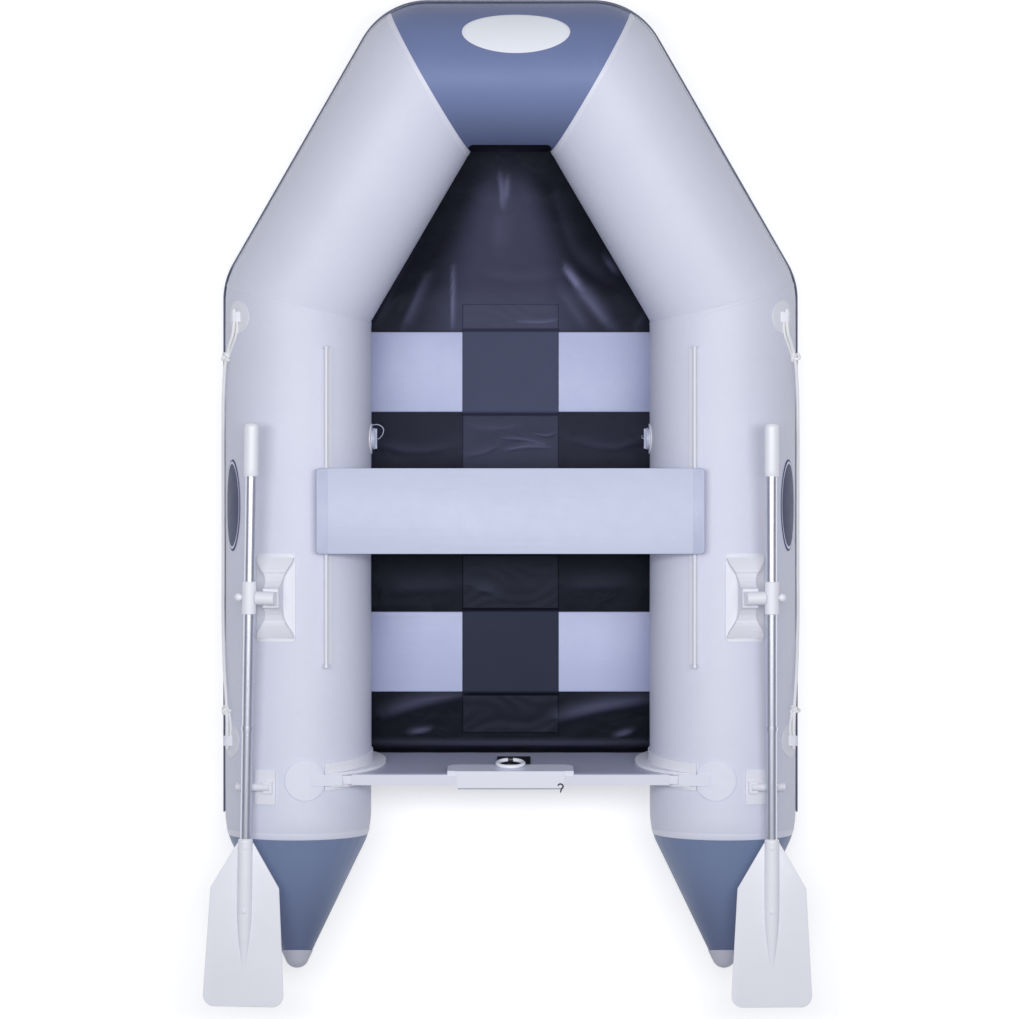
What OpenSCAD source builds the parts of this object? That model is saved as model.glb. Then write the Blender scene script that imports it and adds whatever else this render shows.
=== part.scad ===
// Inflatable dinghy with a wooden transom, a sliding seat, slatted floor and two stowed oars.
// Millimetres, +Y towards the bow, +X to starboard, +Z up, origin under the middle of the box.

/* [Hull] */
// Length from the front of the bow tube to the tips of the stern cones
hull_len = 2300; // [2250:10:2450]
// Diameter of the inflated tubes
tube_d = 350; // [340:2:360]
// Thickness of the coated fabric of the tubes
skin = 1; // [0.8:0.1:1.4]
// Distance between the axes of the two side tubes
axis_gap = 1020; // [1000:10:1060]
// Length of the bow tube's axis between its two mitres
bow_len = 390; // [360:10:420]
// Fore and aft run of each bow quarter tube
quarter_run = 524; // [500:4:550]
// Height of the bow tube's axis above the side tubes' axes
bow_rise = 110; // [90:5:130]
// Room between a piece that is glued on and the skin under it
glue_gap = 0.3; // [0.2:0.1:0.4]
// Height of the rubbing strake around the hull
strake_h = 24; // [18:1:30]
// Thickness of the rubbing strake
strake_t = 4; // [3:0.5:6]

/* [Stern cones] */
// Half angle of the stern cones
cone_angle = 25.5; // [24:0.5:27]
// Angle by which the stern cones turn up
cone_lift = 8; // [5:1:10]
// Radius of the rounded tips
tip_r = 27; // [24:1:30]
// Distance from the start of the taper to the seam of the cone panel
seam_back = 53; // [45:1:60]
// Length of the rubber caps on the tips
cap_len = 40; // [34:1:46]
// Wall of the rubber caps on the tips
cap_wall = 1.5; // [1:0.1:2.5]

/* [Floor] */
// Angle from the bottom of a tube to the line where the floor is glued on
floor_angle = 21; // [18:1:24]
// Thickness of the floor sheet
floor_t = 1.2; // [1:0.1:1.6]
// Height of the floor sheet's flap on the transom
flap_h = 48; // [35:1:60]
// Length of a floor slat, across the boat
slat_len = 820; // [780:5:840]
// Width of a floor slat, fore and aft
slat_w = 196; // [180:2:210]
// Thickness of a floor slat
slat_t = 9; // [7:0.5:12]
// Distance from the crease where the floor rises to the bow back to the fore slat
fore_slat_gap = 83; // [75:1:90]
// Distance from the foot of the transom forward to the aft slat
aft_slat_gap = 140; // [130:1:150]
// Distance from the crease back to the sleeve's front end
sleeve_fore_gap = 13; // [8:1:40]
// Distance from the foot of the transom forward to the sleeve's aft end
sleeve_aft_gap = 38; // [20:1:60]
// Width of the sleeve that holds the slats in line
sleeve_w = 236; // [220:2:250]
// Thickness of the sleeve's fabric
sleeve_t = 1; // [0.8:0.1:1.4]

/* [Transom] */
// Distance from the start of the taper forward to the foot of the transom
transom_ahead = 139; // [134:1:150]
// Angle by which the transom leans aft
transom_rake = 7; // [5:0.5:9]
// Thickness of the transom board
board_t = 20; // [18:1:24]
// Drop from the tubes' crowns to the transom's top edge
transom_drop = 20; // [16:1:28]
// Width of the transom board over its top
transom_w = 808; // [796:2:816]
// Width of the transom board at its foot
transom_foot_w = 750; // [720:2:770]
// Thickness of the trim on the transom's top edge
trim_t = 2.5; // [2:0.1:3]
// Depth of the trim on the transom's faces
trim_h = 12; // [9:0.5:16]
// Thickness of a transom holder's foot on the tube
foot_t = 4; // [3:0.5:5]
// Thickness of a transom holder's two cheeks
cheek_t = 7; // [5:0.5:9]
// Height of a transom holder's cheeks at half the height of the tube
cheek_h = 36; // [30:1:40]
// Length of a transom holder's foot ahead of the board
foot_ahead = 31; // [26:1:36]
// Length of a transom holder's foot behind the board
foot_behind = 14; // [10:1:20]
// Diameter of the round tie patches
tie_d = 96; // [86:1:104]
// Width of the tie straps
strap_w = 27; // [22:1:32]
// Thickness of the tie straps
strap_t = 3; // [2:0.5:4]

/* [Motor pad] */
// Width of the inner motor plate
inner_plate_w = 298; // [280:2:310]
// Height of the inner motor plate
inner_plate_h = 78; // [70:1:90]
// Thickness of the inner motor plate
inner_plate_t = 11; // [9:0.5:14]
// Width of the outer motor plate
outer_plate_w = 256; // [240:2:276]
// Height of the outer motor plate
outer_plate_h = 120; // [100:1:140]
// Thickness of the outer motor plate
outer_plate_t = 10; // [8:0.5:12]
// Radius of the motor plates' lower corners
plate_corner = 26; // [18:1:34]
// Thickness of the saddle over the transom between the plates
saddle_t = 3; // [2:0.5:4]
// Diameter of the safety ring on its centre line
ring_d = 62; // [56:1:68]
// Thickness of the safety ring
ring_wire = 9; // [8:0.5:10]
// Distance from the transom out to the safety ring's hinge
ring_out = 20.5; // [19:0.5:24]
// Width of the webbing loop that holds the safety ring
loop_w = 12; // [8:1:14]
// Width of the patch that holds the safety ring
patch_w = 80; // [60:2:100]
// Height of the patch that holds the safety ring
patch_h = 134; // [100:2:150]
// Thickness of the patch that holds the safety ring
patch_t = 3; // [2:0.5:4]

/* [Seat] */
// Distance from the foot of the transom forward to the middle of the seat
seat_ahead = 583; // [560:1:600]
// Length of the seat board, across the boat
seat_len = 912; // [900:2:930]
// Width of the seat board, fore and aft
seat_w = 202; // [180:2:220]
// Thickness of the seat board
seat_t = 16; // [14:1:20]
// Angle from a tube's crown inboard to its seat track
track_angle = 26; // [25:0.5:27]
// Length of a seat track
track_len = 744; // [700:2:780]
// Distance from the middle of the seat forward to the middle of the tracks
track_lead = 11; // [0:1:20]
// Diameter of the rope bead in a seat track
bead_d = 8; // [7:0.5:9]
// Height of the bead above the track's foot
bead_up = 13; // [12:0.5:15]
// Thickness of the fabric web under the bead
web_t = 2.4; // [2:0.1:3]
// Room between the bead and the seat's channel
channel_gap = 0.6; // [0.4:0.1:1]
// Wall of the seat's channels
channel_wall = 3; // [2.5:0.5:4]

/* [Oarlocks] */
// Distance from the foot of the transom forward to the oarlocks
lock_ahead = 379; // [360:1:400]
// Angle from a tube's crown outboard to the middle of an oarlock
lock_lean = 14; // [12:0.5:16]
// Length of an oarlock's glued base
base_len = 208; // [190:2:220]
// Width of an oarlock's glued base
base_w = 95; // [86:1:102]
// Thickness of the glued flange of an oarlock
flange_t = 2.5; // [2:0.5:4]
// Height of an oarlock's saddle at its waist
saddle_h = 38; // [34:1:42]
// Height of the pin's axis above the tube
pin_up = 55; // [52:1:58]
// Diameter of the pin
pin_d = 10; // [8:0.5:12]
// Diameter of the swivel's spigot
spigot_d = 18; // [16:1:22]
// Width of the swivel's head
head_w = 31; // [27:1:34]
// Running room on a pin or a spigot, all round
run_gap = 0.15; // [0.1:0.05:0.3]
// Distance from the swivel's axis out to the oar
arm = 47; // [45:0.5:50]
// Diameter of the knob on the end of the pin
knob_d = 19; // [17:1:22]
// Distance from the oarlocks aft to the oar rests
rest_back = 446; // [430:2:460]
// Diameter of the peg that the oar lies on
peg_d = 18; // [16:1:20]
// Height of the peg's axis above the tube
peg_up = 8; // [7:0.5:10]

/* [Oars] */
// Length of an oar from its pin to the end of the grip
grip_reach = 409; // [390:1:430]
// Length of an oar's grip
grip_len = 124; // [110:1:140]
// Diameter of an oar's grip
grip_d = 34; // [31:1:36]
// Outer diameter of an oar's shaft
shaft_d = 25; // [24:0.5:27]
// Wall of an oar's shaft
shaft_wall = 1.5; // [1.2:0.1:2]
// Length of the collar on the shaft
collar_len = 77; // [70:1:84]
// Outer diameter of the collar on the shaft
collar_d = 33; // [32:0.5:34]
// Distance from the pin to the joint between the two halves of the shaft
joint_reach = 313; // [290:1:330]
// Distance from the pin to the neck of the blade
neck_reach = 567; // [550:1:585]
// Distance from the pin to the end of the blade
blade_reach = 972; // [950:1:990]
// Width of the blade at its end
blade_w = 190; // [170:2:200]
// Width of the blade at its shoulders
shoulder_w = 162; // [150:2:176]
// Length of the shaft inside the blade's socket
shaft_in_blade = 72; // [60:1:90]
// Distance from the neck of the blade to its shoulders
shoulder_back = 118; // [106:1:130]
// Length of the blade's socket, from the neck to its point
socket_len = 335; // [300:5:350]
// Length of the socket's full width, before it tapers
socket_full = 190; // [170:5:210]
// Thickness of the blade
blade_t = 5; // [4:0.5:7]
// Diameter of the blade's neck
neck_d = 35; // [33:0.5:38]
// Angle by which the port oar lies outboard
port_yaw = 2; // [1.5:0.1:2.4]
// Angle by which the starboard oar lies outboard
starboard_yaw = 1.1; // [0.8:0.1:1.6]

/* [Fittings] */
// Distance from the foot of the transom forward to the air valves
valve_ahead = 757; // [720:1:790]
// Angle from a tube's crown inboard to its valve
valve_angle = 90; // [72:1:96]
// Diameter of a valve's flange
valve_d = 72; // [64:1:80]
// Diameter of a valve's barrel
barrel_d = 48; // [44:1:52]
// Length of the barrel inside the tube
barrel_len = 42; // [36:1:50]
// Diameter of the valve's opening
throat_d = 32; // [28:1:36]
// Distance from the bends in the tubes aft to the front lifeline pads
front_pad_back = 45; // [40:1:60]
// Distance from the foot of the transom forward to the rear lifeline pads
rear_pad_ahead = 37; // [30:1:44]
// Diameter of a lifeline pad
pad_d = 79; // [70:1:84]
// Distance from the foot of the transom forward to the side plates
side_plate_ahead = 597; // [580:1:610]
// Length of the oval side plates
side_plate_len = 218; // [200:2:240]
// Width of the oval side plates
side_plate_w = 68; // [60:1:76]
// Length of the oval bow plate
bow_plate_len = 258; // [240:2:276]
// Width of the oval bow plate
bow_plate_w = 111; // [100:1:120]
// Thickness of the oval plates
plate_t = 2; // [1.5:0.5:3]
// Diameter of the lifeline
line_d = 8; // [8:1:8]

/* [Hidden] */
$fn = 96;

reach = 3000;
steps = 6;
light_grey = [0.80, 0.81, 0.88];
blue_grey = [0.36, 0.40, 0.54];
black_skin = [0.09, 0.09, 0.12];
white_plastic = [0.93, 0.93, 0.95];

tube_r = tube_d / 2;
axis_x = axis_gap / 2;
oar_shadow = 80;
bow_front = (hull_len + oar_shadow) / 2;
bow_y = bow_front - tube_r - strake_t - 0.7;
bend_y = bow_y - quarter_run;
bow_corner = [bow_len / 2, bow_y, tube_r + bow_rise];
bend = [axis_x, bend_y, tube_r];

// A cone is tangent to the tube's end sphere and to its tip sphere
tip_run = (tube_r - tip_r) / sin(cone_angle);
tip_y = bow_front - hull_len;
taper_y = tip_y + tip_run * cos(cone_lift) + tip_r + cap_wall + glue_gap;
taper = [axis_x, taper_y, tube_r];
cone_dir = [0, -cos(cone_lift), sin(cone_lift)];

quarter_len = norm(bow_corner - bend);
quarter_dir = (bow_corner - bend) / quarter_len;
bend_half = acos(quarter_dir.y) / 2;
corner_half = acos(-quarter_dir.x) / 2;
bend_normal = unit([0, 1, 0] + quarter_dir);
corner_normal = unit([-1, 0, 0] + quarter_dir);
past = 4;
bend_over = tube_r * sin(bend_half + past);
corner_over = tube_r * sin(corner_half + past);

bow_slope = atan(bow_rise / quarter_run);
floor_drop = tube_r * cos(floor_angle);
floor_top = tube_r - floor_drop;
floor_inset = tube_r * sin(floor_angle) + glue_gap;
crease_y = bend_y + floor_drop * tan(bow_slope / 2);

transom_y = taper_y + transom_ahead;
transom_h = tube_d - transom_drop;
board_top = transom_h / cos(transom_rake);
// A cheek's edge is a circle that is a little smaller than the tube and moved inboard
cheek_r = tube_r - 8;
cheek_shift = tube_r + cheek_h - cheek_r;
seat_y = transom_y + seat_ahead;
// The middle slat lies halfway between the other two
fore_slat_y = crease_y - fore_slat_gap - slat_w / 2;
aft_slat_y = transom_y + aft_slat_gap + slat_w / 2;
slat_y = (fore_slat_y + aft_slat_y) / 2;
slat_pitch = (fore_slat_y - aft_slat_y) / 2;
side_plate_y = transom_y + side_plate_ahead;
track_x = axis_x - tube_r * sin(track_angle);
track_foot = 1.5;
bead_z = tube_r + (tube_r + glue_gap) * cos(track_angle) + track_foot + bead_up;
channel_r = bead_d / 2 + channel_gap;
seat_z = bead_z + channel_r + channel_wall;

lock_y = transom_y + lock_ahead;
pin_z = tube_r + pin_up;
rest_y = lock_y - rest_back;
shaft_r = shaft_d / 2;
peg_r = peg_d / 2;
peg_z = tube_r + peg_up;
// The oar's pitch lays the shaft on the peg with the glue gap between them
oar_drop = pin_z - peg_z;
oar_pitch = atan(oar_drop / rest_back)
    - asin((shaft_r + peg_r + glue_gap) / norm([oar_drop, rest_back]));
head_out = arm - collar_d / 2 - 1.5;
knob_in = arm + collar_d / 2 + 1;

valve_y = transom_y + valve_ahead;
front_pad_y = bend_y - front_pad_back;
rear_pad_y = transom_y + rear_pad_ahead;
front_pad_angle = 51;
rear_pad_angle = 62;
pad_t = 2;
eye_len = 24;
eye_up = 9;
eye_r = line_d / 2 + 1;
side_plate_angle = 59;
bow_plate_angle = 29;

// The lifeline on the starboard side, from the front pad's eye to the rear pad's
lifeline_route = [[655, 460, 292], [655, 448, 292], [655, 432, 292], [656, 418, 290], [659, 400, 284], [666, 382, 271],
    [674, 360, 252], [680, 334, 236], [684, 300, 222], [687, 250, 212], [688, 200, 205],
    [689, 140, 199], [689, 80, 197], [689, 20, 196], [689, -50, 196], [689, -120, 196],
    [689, -190, 196], [689, -260, 199], [687, -330, 208], [684, -390, 221], [680, -440, 235],
    [677, -480, 247], [675, -510, 256], [674, -530, 260], [674, -550, 262], [674, -570, 262],
    [674, -584, 262]];

function unit(v) = v / norm(v);
function flip(list) = [for (i = [len(list) - 1:-1:0]) list[i]];

// A round arc of points about a centre, from one angle to another
function arc(centre, r, from, to, n) =
    [for (i = [0:n]) centre + r * [cos(from + (to - from) * i / n), sin(from + (to - from) * i / n)]];
function round_box(w, h, r) = concat(
    arc([w / 2 - r, h / 2 - r], r, 0, 90, steps), arc([r - w / 2, h / 2 - r], r, 90, 180, steps),
    arc([r - w / 2, r - h / 2], r, 180, 270, steps), arc([w / 2 - r, r - h / 2], r, 270, 360, steps));
function oval(w, h) = [for (i = [0:59]) [w / 2 * cos(i * 6), h / 2 * sin(i * 6)]];

// A point on a circle round the starboard tube's axis, its angle measured from the crown outboard
function rim(r, a) = [axis_x + r * sin(a), tube_r + r * cos(a)];

// Moves +Z onto a direction
module facing(point, direction)
    translate(point) rotate([0, acos(unit(direction).z), atan2(direction.y, direction.x)]) children();
module half_space(point, direction)
    facing(point, direction) translate([-reach, -reach, 0]) cube([2 * reach, 2 * reach, 2 * reach]);
module port_side() mirror([1, 0, 0]) children();
// Extrudes an outline drawn in x and z from one station to another
module along_y(from, to)
    translate([0, to, 0]) rotate([90, 0, 0]) linear_extrude(to - from) children();
// Extrudes an outline drawn in y and z from one x to another
module along_x(from, to)
    translate([from, 0, 0]) rotate([90, 0, 90]) linear_extrude(to - from) children();
// A curved strip round the starboard tube, between two radii and between two angles from the crown
module band(r1, r2, a1, a2) intersection() {
    translate([axis_x, tube_r]) difference() {
        circle(r2);
        circle(r1);
    }
    polygon(concat([rim(0, 0)], [for (i = [0:4]) rim(2 * r2, a1 + (a2 - a1) * i / 4)]));
}
// +Z points out of the starboard tube at an angle from its crown
module on_tube(angle, y) translate([axis_x, y, tube_r]) rotate([0, angle, 0]) children();
// +Y is the transom's forward normal and +Z runs up the board
module at_transom() translate([0, transom_y, 0]) rotate([transom_rake, 0, 0]) children();

// ---------------------------------------------------------------- tubes

// One side of a sleeve's wall: it runs on round the end spheres by the distances back and front
function wall_side(r, len, back, front) = concat(
    [for (i = [steps:-1:1]) r * [cos(asin(back / r) * i / steps), -sin(asin(back / r) * i / steps)]],
    [[r, 0], [r, len]],
    [for (i = [1:steps]) [r * cos(asin(front / r) * i / steps),
        len + r * sin(asin(front / r) * i / steps)]]);
module sleeve(start, direction, len, back, front)
    facing(start, direction) rotate_extrude() polygon(concat(
        wall_side(tube_r, len, back, front), flip(wall_side(tube_r - skin, len, back, front))));

module bow_tube() color(blue_grey) difference() {
    sleeve(bow_corner, [-1, 0, 0], bow_len, corner_over, corner_over);
    half_space(bow_corner, -corner_normal);
    port_side() half_space(bow_corner, -corner_normal);
}
module quarter_tube() color(light_grey) difference() {
    sleeve(bend, quarter_dir, quarter_len, bend_over, corner_over);
    half_space(bend, -bend_normal);
    half_space(bow_corner, corner_normal);
}
module side_tube() color(light_grey) difference() {
    sleeve(taper, [0, 1, 0], bend_y - taper_y, seam_back, bend_over);
    half_space(bend, bend_normal);
    on_tube(-valve_angle, valve_y) translate([0, 0, tube_r / 2]) cylinder(r = barrel_d / 2 + glue_gap, h = tube_r);
}

// One side of a cone's wall, from behind the end sphere's middle to the tip, moved in by inset
function cone_side(inset, from) = concat(
    arc([0, 0], tube_r - inset, from, cone_angle, steps),
    arc([0, tip_run], tip_r - inset, cone_angle, 90, steps));
module stern_cone() color(blue_grey) difference() {
    facing(taper, cone_dir) rotate_extrude()
        polygon(concat(cone_side(0, -10), flip(cone_side(skin, -10))));
    half_space([0, taper_y - seam_back, 0], [0, 1, 0]);
}
module tip_cap() color(light_grey) facing(taper, cone_dir) rotate_extrude() difference() {
    polygon(concat(cone_side(-glue_gap - cap_wall, 0), flip(cone_side(-glue_gap, 0))));
    translate([0, -tube_r]) square([2 * tube_r, tube_r + tip_run + tip_r - cap_len]);
}
module cone_tip_caps() {
    tip_cap();
    port_side() tip_cap();
}

// The fabric wall between the two air chambers bulges to one side
baffle_r = tube_r - skin - glue_gap;
baffle_depth = 45;
bulge_r = (baffle_r * baffle_r + baffle_depth * baffle_depth) / (2 * baffle_depth);
bulge_from = acos(baffle_r / bulge_r);
function bulge(r) = arc([0, -bulge_r * sin(bulge_from)], r, acos(baffle_r / r), 90, 2 * steps);
module chamber_baffle() color(light_grey)
    facing([0, bow_y, tube_r + bow_rise], [1, 0, 0]) rotate_extrude()
        polygon(concat(bulge(bulge_r + skin), flip(bulge(bulge_r))));

// ---------------------------------------------------------------- strake

// A swept skin over rings that have the same number of points
module sweep(rings) {
    n = len(rings[0]);
    last = len(rings) - 1;
    polyhedron(
        points = [for (ring = rings) for (p = ring) p],
        faces = concat(
            [[for (k = [n - 1:-1:0]) k]],
            [for (i = [0:last - 1]) for (k = [0:n - 1])
                [i * n + k, i * n + (k + 1) % n, (i + 1) * n + (k + 1) % n, (i + 1) * n + k]],
            [[for (k = [0:n - 1]) last * n + k]]),
        convexity = 8);
}
// Each station is a point on a tube's axis, the way out to the strake and the strake's own up
level = [0, 0, 1];
bow_up = [0, -sin(bow_slope), cos(bow_slope)];
bow_out = [0, cos(bow_slope), sin(bow_slope)];
quarter_out = cross(quarter_dir, bow_up);
function turned(point, a, b, up_a, up_b, n) =
    [for (i = [0:n]) [point, unit(a + (b - a) * i / n), unit(up_a + (up_b - up_a) * i / n)]];
strake_stations = concat(
    [[taper, [1, 0, 0], level]],
    turned(bend, [1, 0, 0], quarter_out, level, bow_up, 6),
    turned(bow_corner, quarter_out, bow_out, bow_up, bow_up, 10));
function mirror_x(v) = [-v.x, v.y, v.z];
function mirrored_station(s) = [mirror_x(s[0]), mirror_x(s[1]), mirror_x(s[2])];
function strake_ring(s) = let (near = tube_r + 0.7, far = near + strake_t, h = strake_h / 2) [
    s[0] + near * s[1] - h * s[2], s[0] + (far - 1) * s[1] - h * s[2],
    s[0] + far * s[1] - (h - 4) * s[2], s[0] + far * s[1] + (h - 4) * s[2],
    s[0] + (far - 1) * s[1] + h * s[2], s[0] + near * s[1] + h * s[2]];
module rubbing_strake() color(blue_grey) sweep(concat(
    [for (s = strake_stations) strake_ring(s)],
    [for (s = flip(strake_stations)) strake_ring(mirrored_station(s))]));

// ---------------------------------------------------------------- floor

module floor_sheet() color(black_skin) {
    half = axis_x - floor_inset;
    difference() {
        translate([-half, transom_y - board_t, floor_top - floor_t])
            cube([2 * half, crease_y - transom_y + board_t, floor_t]);
        half_space([0, crease_y, floor_top], [0, cos(bow_slope / 2), sin(bow_slope / 2)]);
    }
    difference() {
        at_transom() translate([-transom_foot_w / 2, glue_gap, 0])
            cube([transom_foot_w, floor_t, flap_h]);
        translate([-reach, -reach, floor_top - floor_t - reach]) cube([2 * reach, 2 * reach, reach]);
        for (side = [0, 1]) mirror([side, 0, 0]) translate([axis_x - cheek_shift, 0, tube_r])
            rotate([90, 0, 0]) cylinder(r = cheek_r + glue_gap, h = 2 * reach, center = true);
    }
}
// The bow's part of the floor lies under the quarter tubes and the bow tube, at their slope
module bow_floor_sheet() color(black_skin) {
    spread = atan((axis_x - bow_corner.x) * cos(bow_slope) / quarter_run);
    foot_v = floor_drop * tan(bow_slope / 2);
    turn_v = foot_v - floor_inset * tan(spread / 2);
    front_v = foot_v + quarter_run / cos(bow_slope) - floor_inset;
    half = axis_x - floor_inset;
    front_half = half - (front_v - turn_v) * tan(spread);
    translate([0, crease_y, floor_top]) rotate([bow_slope, 0, 0]) difference() {
        translate([0, 0, -floor_t]) linear_extrude(floor_t) polygon([
            [-half, -floor_drop], [half, -floor_drop], [half, turn_v], [front_half, front_v],
            [-front_half, front_v], [-half, turn_v]]);
        half_space([0, 0, 0], [0, -cos(bow_slope / 2), sin(bow_slope / 2)]);
    }
}
slat_corner = 12;
module slat(place) color(light_grey)
    translate([0, slat_y + place * slat_pitch, floor_top])
        linear_extrude(slat_t) polygon(round_box(slat_len, slat_w, slat_corner));
// The sleeve runs over the slats and down to the floor between them, at a height off both
function sleeve_line(off) = let (h = slat_w / 2 + off) concat(
    [[transom_y + sleeve_aft_gap, floor_top + off]],
    [for (place = [-1:1]) for (p = [[-h, off], [-h, slat_t + off], [h, slat_t + off], [h, off]])
        [slat_y + place * slat_pitch + p.x, floor_top + p.y]],
    [[crease_y - sleeve_fore_gap, floor_top + off]]);
module slat_sleeve() color(blue_grey) along_x(-sleeve_w / 2, sleeve_w / 2)
    polygon(concat(sleeve_line(glue_gap + sleeve_t), flip(sleeve_line(glue_gap))));

// ---------------------------------------------------------------- transom

// Room that the board leaves round the starboard tube for its holder
module holder_room()
    translate([axis_x, 0, tube_r]) rotate([90, 0, 0])
        cylinder(r = tube_r + glue_gap + foot_t + glue_gap, h = 2 * reach, center = true);
module transom_board() color(blue_grey) difference() {
    at_transom() along_y(-board_t, 0) polygon([
        [-transom_foot_w / 2, 0], [transom_foot_w / 2, 0], [transom_w / 2, board_top / 2],
        [transom_w / 2, board_top], [-transom_w / 2, board_top], [-transom_w / 2, board_top / 2]]);
    translate([-reach, -reach, floor_top + glue_gap - reach]) cube([2 * reach, 2 * reach, reach]);
    for (side = [0, 1]) mirror([side, 0, 0]) holder_room();
}
// The trim covers the top edge on both sides of the motor plates
trim_low = transom_h - trim_h * cos(transom_rake) - (board_t + trim_t) * sin(transom_rake);
trim_end = axis_x - cheek_shift - sqrt(pow(cheek_r, 2) - pow(trim_low - tube_r, 2)) - 2 * glue_gap;
// The trim runs up to the saddle, and its inner flange only up to the inner plate
module transom_trim() color(white_plastic) for (side = [0, 1]) mirror([side, 0, 0])
    at_transom() difference() {
        from = outer_plate_w / 2 + glue_gap;
        translate([from, -board_t - trim_t, board_top - trim_h])
            cube([trim_end - from, board_t + 2 * trim_t, trim_h + trim_t]);
        translate([0, -board_t, 0]) cube([transom_w, board_t, board_top]);
        translate([0, -glue_gap, 0]) cube([inner_plate_w / 2 + glue_gap, 2 * trim_t, 2 * board_top]);
    }

holder_top_angle = -24;
holder_end_angle = -140;
holder_steps = 40;
function holder_turn(i) = holder_top_angle + (holder_end_angle - holder_top_angle) * i / holder_steps;
cheek_steps = 36;
function cheek_turn(i) = holder_top_angle - 4 + (holder_end_angle - holder_top_angle + 5) * i / cheek_steps;
function cheek_edge(a) = -cheek_shift * sin(a) + sqrt(pow(cheek_r, 2) - pow(cheek_shift * cos(a), 2));
module holder_slab(from, to)
    at_transom() translate([-reach, from, -tube_r]) cube([2 * reach, to - from, 4 * tube_r]);
module transom_holder() color(white_plastic) {
    near = tube_r + glue_gap;
    intersection() {
        along_y(transom_y - tube_d, transom_y + tube_d) polygon(concat(
            [for (i = [0:holder_steps]) rim(near, holder_turn(i))],
            [for (i = [holder_steps:-1:0]) rim(near + foot_t, holder_turn(i))]));
        holder_slab(-board_t - foot_behind, foot_ahead);
    }
    for (from = [glue_gap, -board_t - glue_gap - cheek_t]) intersection() {
        along_y(transom_y - tube_d, transom_y + tube_d) difference() {
            polygon(concat(
                [for (i = [0:cheek_steps]) rim(near + 0.6 * foot_t, cheek_turn(i))],
                [for (i = [cheek_steps:-1:0]) rim(cheek_edge(cheek_turn(i)), cheek_turn(i))]));
            if (from > 0) translate([axis_x - transom_w, 0]) square([transom_w, floor_top + 1]);
        }
        holder_slab(from, from + cheek_t);
    }
}

// A round patch on the tube's crown and the strap that ties the board's end to it
tie_angle = -9;
tie_y = transom_y - transom_h * tan(transom_rake) - board_t / 2;
module transom_tie() color(white_plastic) {
    near = tube_r + glue_gap;
    intersection() {
        along_y(tie_y - tie_d, tie_y + tie_d) band(near, near + foot_t, -40, 30);
        on_tube(tie_angle, tie_y) cylinder(d = tie_d, h = tube_d);
        half_space([axis_x + near * sin(holder_top_angle) + 2 * glue_gap, 0, 0], [1, 0, 0]);
    }
    // The tab leads from the patch to the top of the board
    from = rim(near + foot_t - 0.6, -13);
    to = [transom_w / 2 - 8, transom_h + 2 * glue_gap];
    along_y(tie_y - strap_w / 2, tie_y + strap_w / 2)
        polygon([from, to, to + [0, strap_t], from + [0, strap_t]]);
}

// ---------------------------------------------------------------- motor pad

function plate_outline(w, h) = concat([[w / 2, board_top], [-w / 2, board_top]],
    arc([plate_corner - w / 2, board_top - h + plate_corner], plate_corner, 180, 270, steps),
    arc([w / 2 - plate_corner, board_top - h + plate_corner], plate_corner, 270, 360, steps));
// The ring stands on its hinge and leans back against the inner plate
loop_t = 2.2;
hinge_z = board_top - inner_plate_h - ring_wire - 1;
hinge_r = ring_wire / 2 + 1;
ring_lean = asin((ring_out - inner_plate_t - ring_wire / 2 - glue_gap) / ring_d);
module inner_motor_plate() color(light_grey) at_transom() {
    along_y(0, inner_plate_t) polygon(plate_outline(inner_plate_w, inner_plate_h));
    along_x(-outer_plate_w / 2, outer_plate_w / 2) polygon([
        [-board_t - outer_plate_t, board_top], [0, board_top], [0, board_top - inner_plate_h / 2],
        [inner_plate_t, board_top - inner_plate_h / 2], [inner_plate_t, board_top + saddle_t],
        [-board_t - outer_plate_t, board_top + saddle_t]]);
}
module outer_motor_plate() color(light_grey) at_transom()
    along_y(-board_t - outer_plate_t, -board_t) polygon(plate_outline(outer_plate_w, outer_plate_h));
module ring_patch() color(black_skin) at_transom() {
    translate([8 - patch_w / 2, 0, hinge_z + hinge_r - patch_h]) cube([patch_w, patch_t, patch_h]);
    difference() {
        union() {
            translate([-loop_w / 2, ring_out, hinge_z]) rotate([0, 90, 0])
                cylinder(r = hinge_r + loop_t, h = loop_w);
            translate([-loop_w / 2, 0, hinge_z - loop_t]) cube([loop_w, ring_out, 2 * loop_t]);
        }
        translate([-loop_w, ring_out, hinge_z]) rotate([0, 90, 0]) cylinder(r = hinge_r, h = 2 * loop_w);
    }
}
module safety_ring() color(white_plastic) at_transom()
    translate([0, ring_out, hinge_z]) rotate([ring_lean, 0, 0]) translate([0, 0, ring_d / 2])
        rotate([90, 0, 0]) rotate_extrude() translate([ring_d / 2, 0]) circle(d = ring_wire);

// ---------------------------------------------------------------- seat

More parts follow.
